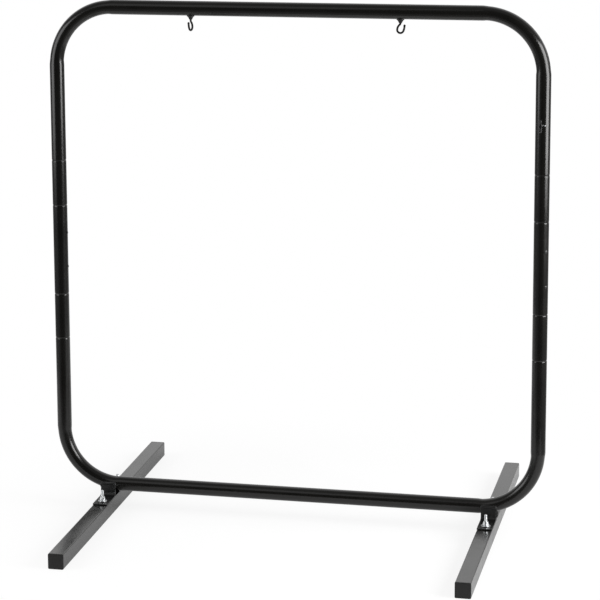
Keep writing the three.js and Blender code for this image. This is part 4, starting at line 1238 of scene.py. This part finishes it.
class GONG_OT_stage(bpy.types.Operator):
    """Floor, soft lights, ambient light and camera."""

    bl_idname = "gong.stage"
    bl_label = "Stage"

    def execute(self, context):
        scene = context.scene
        self.add_floor(scene.gong_stage)
        for name, softbox in SOFTBOXES.items():
            self.add_softbox(scene, name, *softbox)
        self.light_world(scene, scene.gong_stage)
        self.add_camera(scene)
        scene.view_settings.view_transform = "Standard"
        return {"FINISHED"}

    def add_softbox(self, scene, name, place, aim, width, height, radiance):
        """A rectangular lamp that the camera doesn't see."""
        lamp = bpy.data.lights.new(name, "AREA")
        lamp.shape = "RECTANGLE"
        lamp.size, lamp.size_y = width, height
        lamp.energy = math.pi * width * height * radiance
        box = bpy.data.objects.new(name, lamp)
        scene.collection.objects.link(box)
        box.location = place
        towards = Vector(aim) - Vector(place)
        box.rotation_euler = towards.to_track_quat("-Z", "Y").to_euler()
        box.visible_camera = False

    def add_floor(self, stage):
        """A pale sheet. To the camera it fades into the white backdrop under a faint shadow."""
        corners = [
            (FLOOR_LEFT, FLOOR_NEAR, 0), (FLOOR_RIGHT, FLOOR_NEAR, 0),
            (FLOOR_RIGHT, FLOOR_FAR, 0), (FLOOR_LEFT, FLOOR_FAR, 0),
        ]
        floor = new_piece("floor", (corners, [(0, 1, 2, 3)]))
        material, tree = new_material("matt_white_paper")
        place = add_node(tree, "ShaderNodeTexCoord").outputs["Object"]
        shader = add_node(tree, "ShaderNodeBsdfPrincipled", {
            "Base Color": FLOOR_PALE, "Roughness": 0.9, "Specular IOR Level": 0.1,
        })
        distance = add_node(tree, "ShaderNodeVectorMath", {"operation": "LENGTH"}, {0: place})
        least = 1 - stage.shadow_share
        fade = add_node(tree, "ShaderNodeMapRange", {
            "interpolation_type": "SMOOTHSTEP", "From Min": FLOOR_FADE / 2,
            "From Max": FLOOR_FADE, "To Min": least, "To Max": 1.0,
        }, {"Value": distance.outputs["Value"]})
        level = add_node(tree, "ShaderNodeMapRange", {
            "From Min": least, "From Max": 1.0,
            "To Min": (1 - stage.shadow_share * stage.floor_shade) / least, "To Max": 1.0,
        }, {"Value": fade})
        white = add_node(tree, "ShaderNodeEmission", None, {"Strength": level})
        rays = add_node(tree, "ShaderNodeLightPath")
        dimmed = add_node(tree, "ShaderNodeMath", {
            "operation": "MULTIPLY", 1: stage.mirrored_share,
        }, {0: mirrored_rays(tree, rays)})
        seen = add_node(tree, "ShaderNodeMath", {"operation": "MAXIMUM"}, {
            0: rays.outputs["Is Camera Ray"], 1: dimmed,
        })
        share = add_node(tree, "ShaderNodeMath", {"operation": "MULTIPLY"}, {0: fade, 1: seen})
        mix = add_node(tree, "ShaderNodeMixShader", None, {0: share, 1: shader, 2: white})
        add_node(tree, "ShaderNodeOutputMaterial", None, {"Surface": mix})
        floor.data.materials.append(material)

    def light_world(self, scene, stage):
        """White to the camera. Glossy surfaces see a white wall behind the stand, in a dim room."""
        world = bpy.data.worlds.new("studio")
        world.use_nodes = True
        scene.world = world
        tree = world.node_tree
        tree.nodes.clear()
        rays = add_node(tree, "ShaderNodeLightPath")
        direction = add_node(tree, "ShaderNodeTexCoord").outputs["Generated"]
        axes = add_node(tree, "ShaderNodeSeparateXYZ", None, {"Vector": direction})
        behind = add_node(tree, "ShaderNodeMapRange", {
            "interpolation_type": "SMOOTHSTEP", "From Min": WALL_START, "From Max": WALL_FULL,
        }, {"Value": axes.outputs["Y"]})
        above = add_node(tree, "ShaderNodeMapRange", {
            "interpolation_type": "SMOOTHSTEP", "From Min": WALL_FOOT, "From Max": WALL_RISEN,
        }, {"Value": axes.outputs["Z"]})
        wall = add_node(tree, "ShaderNodeMath", {"operation": "MULTIPLY"}, {0: behind, 1: above})
        camera_way = CAMERA_PLACE - Z_AXIS * TOP_Z / 2
        towards = add_node(tree, "ShaderNodeVectorMath", {
            "operation": "DOT_PRODUCT", 1: camera_way.normalized(),
        }, {0: direction})
        open_room = add_node(tree, "ShaderNodeMapRange", {
            "interpolation_type": "SMOOTHSTEP", "From Min": DARK_START, "From Max": DARK_FULL,
            "To Min": stage.room_level, "To Max": stage.dark_level,
        }, {"Value": towards.outputs["Value"]})
        room = add_node(tree, "ShaderNodeMix", {"data_type": "FLOAT", FLOAT_B: 1.0}, {
            FACTOR: wall, FLOAT_A: open_room,
        })
        ambient = add_node(tree, "ShaderNodeMix", {"data_type": "FLOAT", FLOAT_A: stage.ambient}, {
            FACTOR: mirrored_rays(tree, rays), FLOAT_B: room,
        })
        strength = add_node(tree, "ShaderNodeMix", {"data_type": "FLOAT", FLOAT_B: 1.0}, {
            FACTOR: rays.outputs["Is Camera Ray"], FLOAT_A: ambient,
        })
        background = add_node(tree, "ShaderNodeBackground", {"Color": (1, 1, 1, 1)}, {
            "Strength": strength,
        })
        add_node(tree, "ShaderNodeOutputWorld", None, {"Surface": background})

    def add_camera(self, scene):
        """The photograph's view."""
        lens = bpy.data.cameras.new("camera")
        lens.sensor_width = SENSOR_WIDTH_MM
        lens.lens = LENS_MM
        lens.shift_x, lens.shift_y = LENS_SHIFT
        lens.clip_end = FAR_CLIP
        camera = bpy.data.objects.new("camera", lens)
        scene.collection.objects.link(camera)
        turn = Matrix.Rotation(CAMERA_YAW, 4, "Z")
        turn @= Matrix.Rotation(math.pi / 2 - CAMERA_PITCH, 4, "X")
        turn @= Matrix.Rotation(-CAMERA_ROLL, 4, "Z")
        camera.matrix_world = Matrix.Translation(CAMERA_PLACE) @ turn
        scene.camera = camera


class GONG_PT_panel(bpy.types.Panel):
    """Lists the sizes and the steps."""

    bl_idname = "GONG_PT_panel"
    bl_label = "Gong Stand"
    bl_space_type = "VIEW_3D"
    bl_region_type = "UI"
    bl_category = "Gong Stand"

    def draw(self, context):
        scene = context.scene
        for group in (scene.gong_sizes, scene.gong_finishes, scene.gong_stage):
            box = self.layout.box()
            for name in group.__annotations__:
                box.prop(group, name)
        for step in STEPS:
            self.layout.operator(step.bl_idname)


STEPS = (
    GONG_OT_frame_tubes,
    GONG_OT_sleeves,
    GONG_OT_buttons,
    GONG_OT_feet,
    GONG_OT_end_caps,
    GONG_OT_brackets,
    GONG_OT_bolts,
    GONG_OT_wing_nuts,
    GONG_OT_knob,
    GONG_OT_hooks,
    GONG_OT_stage,
)
CLASSES = (GongStandSizes, GongStandFinishes, GongStandStage, *STEPS, GONG_PT_panel)


def register():
    """Adds the classes and the scene's settings."""
    for cls in CLASSES:
        bpy.utils.register_class(cls)
    bpy.types.Scene.gong_sizes = PointerProperty(type=GongStandSizes)
    bpy.types.Scene.gong_finishes = PointerProperty(type=GongStandFinishes)
    bpy.types.Scene.gong_stage = PointerProperty(type=GongStandStage)


def unregister():
    """Takes them away again."""
    del bpy.types.Scene.gong_stage
    del bpy.types.Scene.gong_finishes
    del bpy.types.Scene.gong_sizes
    for cls in reversed(CLASSES):
        bpy.utils.unregister_class(cls)


def main():
    """Builds the stand and its stage."""
    register()
    make_materials(bpy.context.scene.gong_finishes)
    for step in STEPS:
        group, name = step.bl_idname.split(".")
        getattr(getattr(bpy.ops, group), name)()


if __name__ == "__main__":
    main()
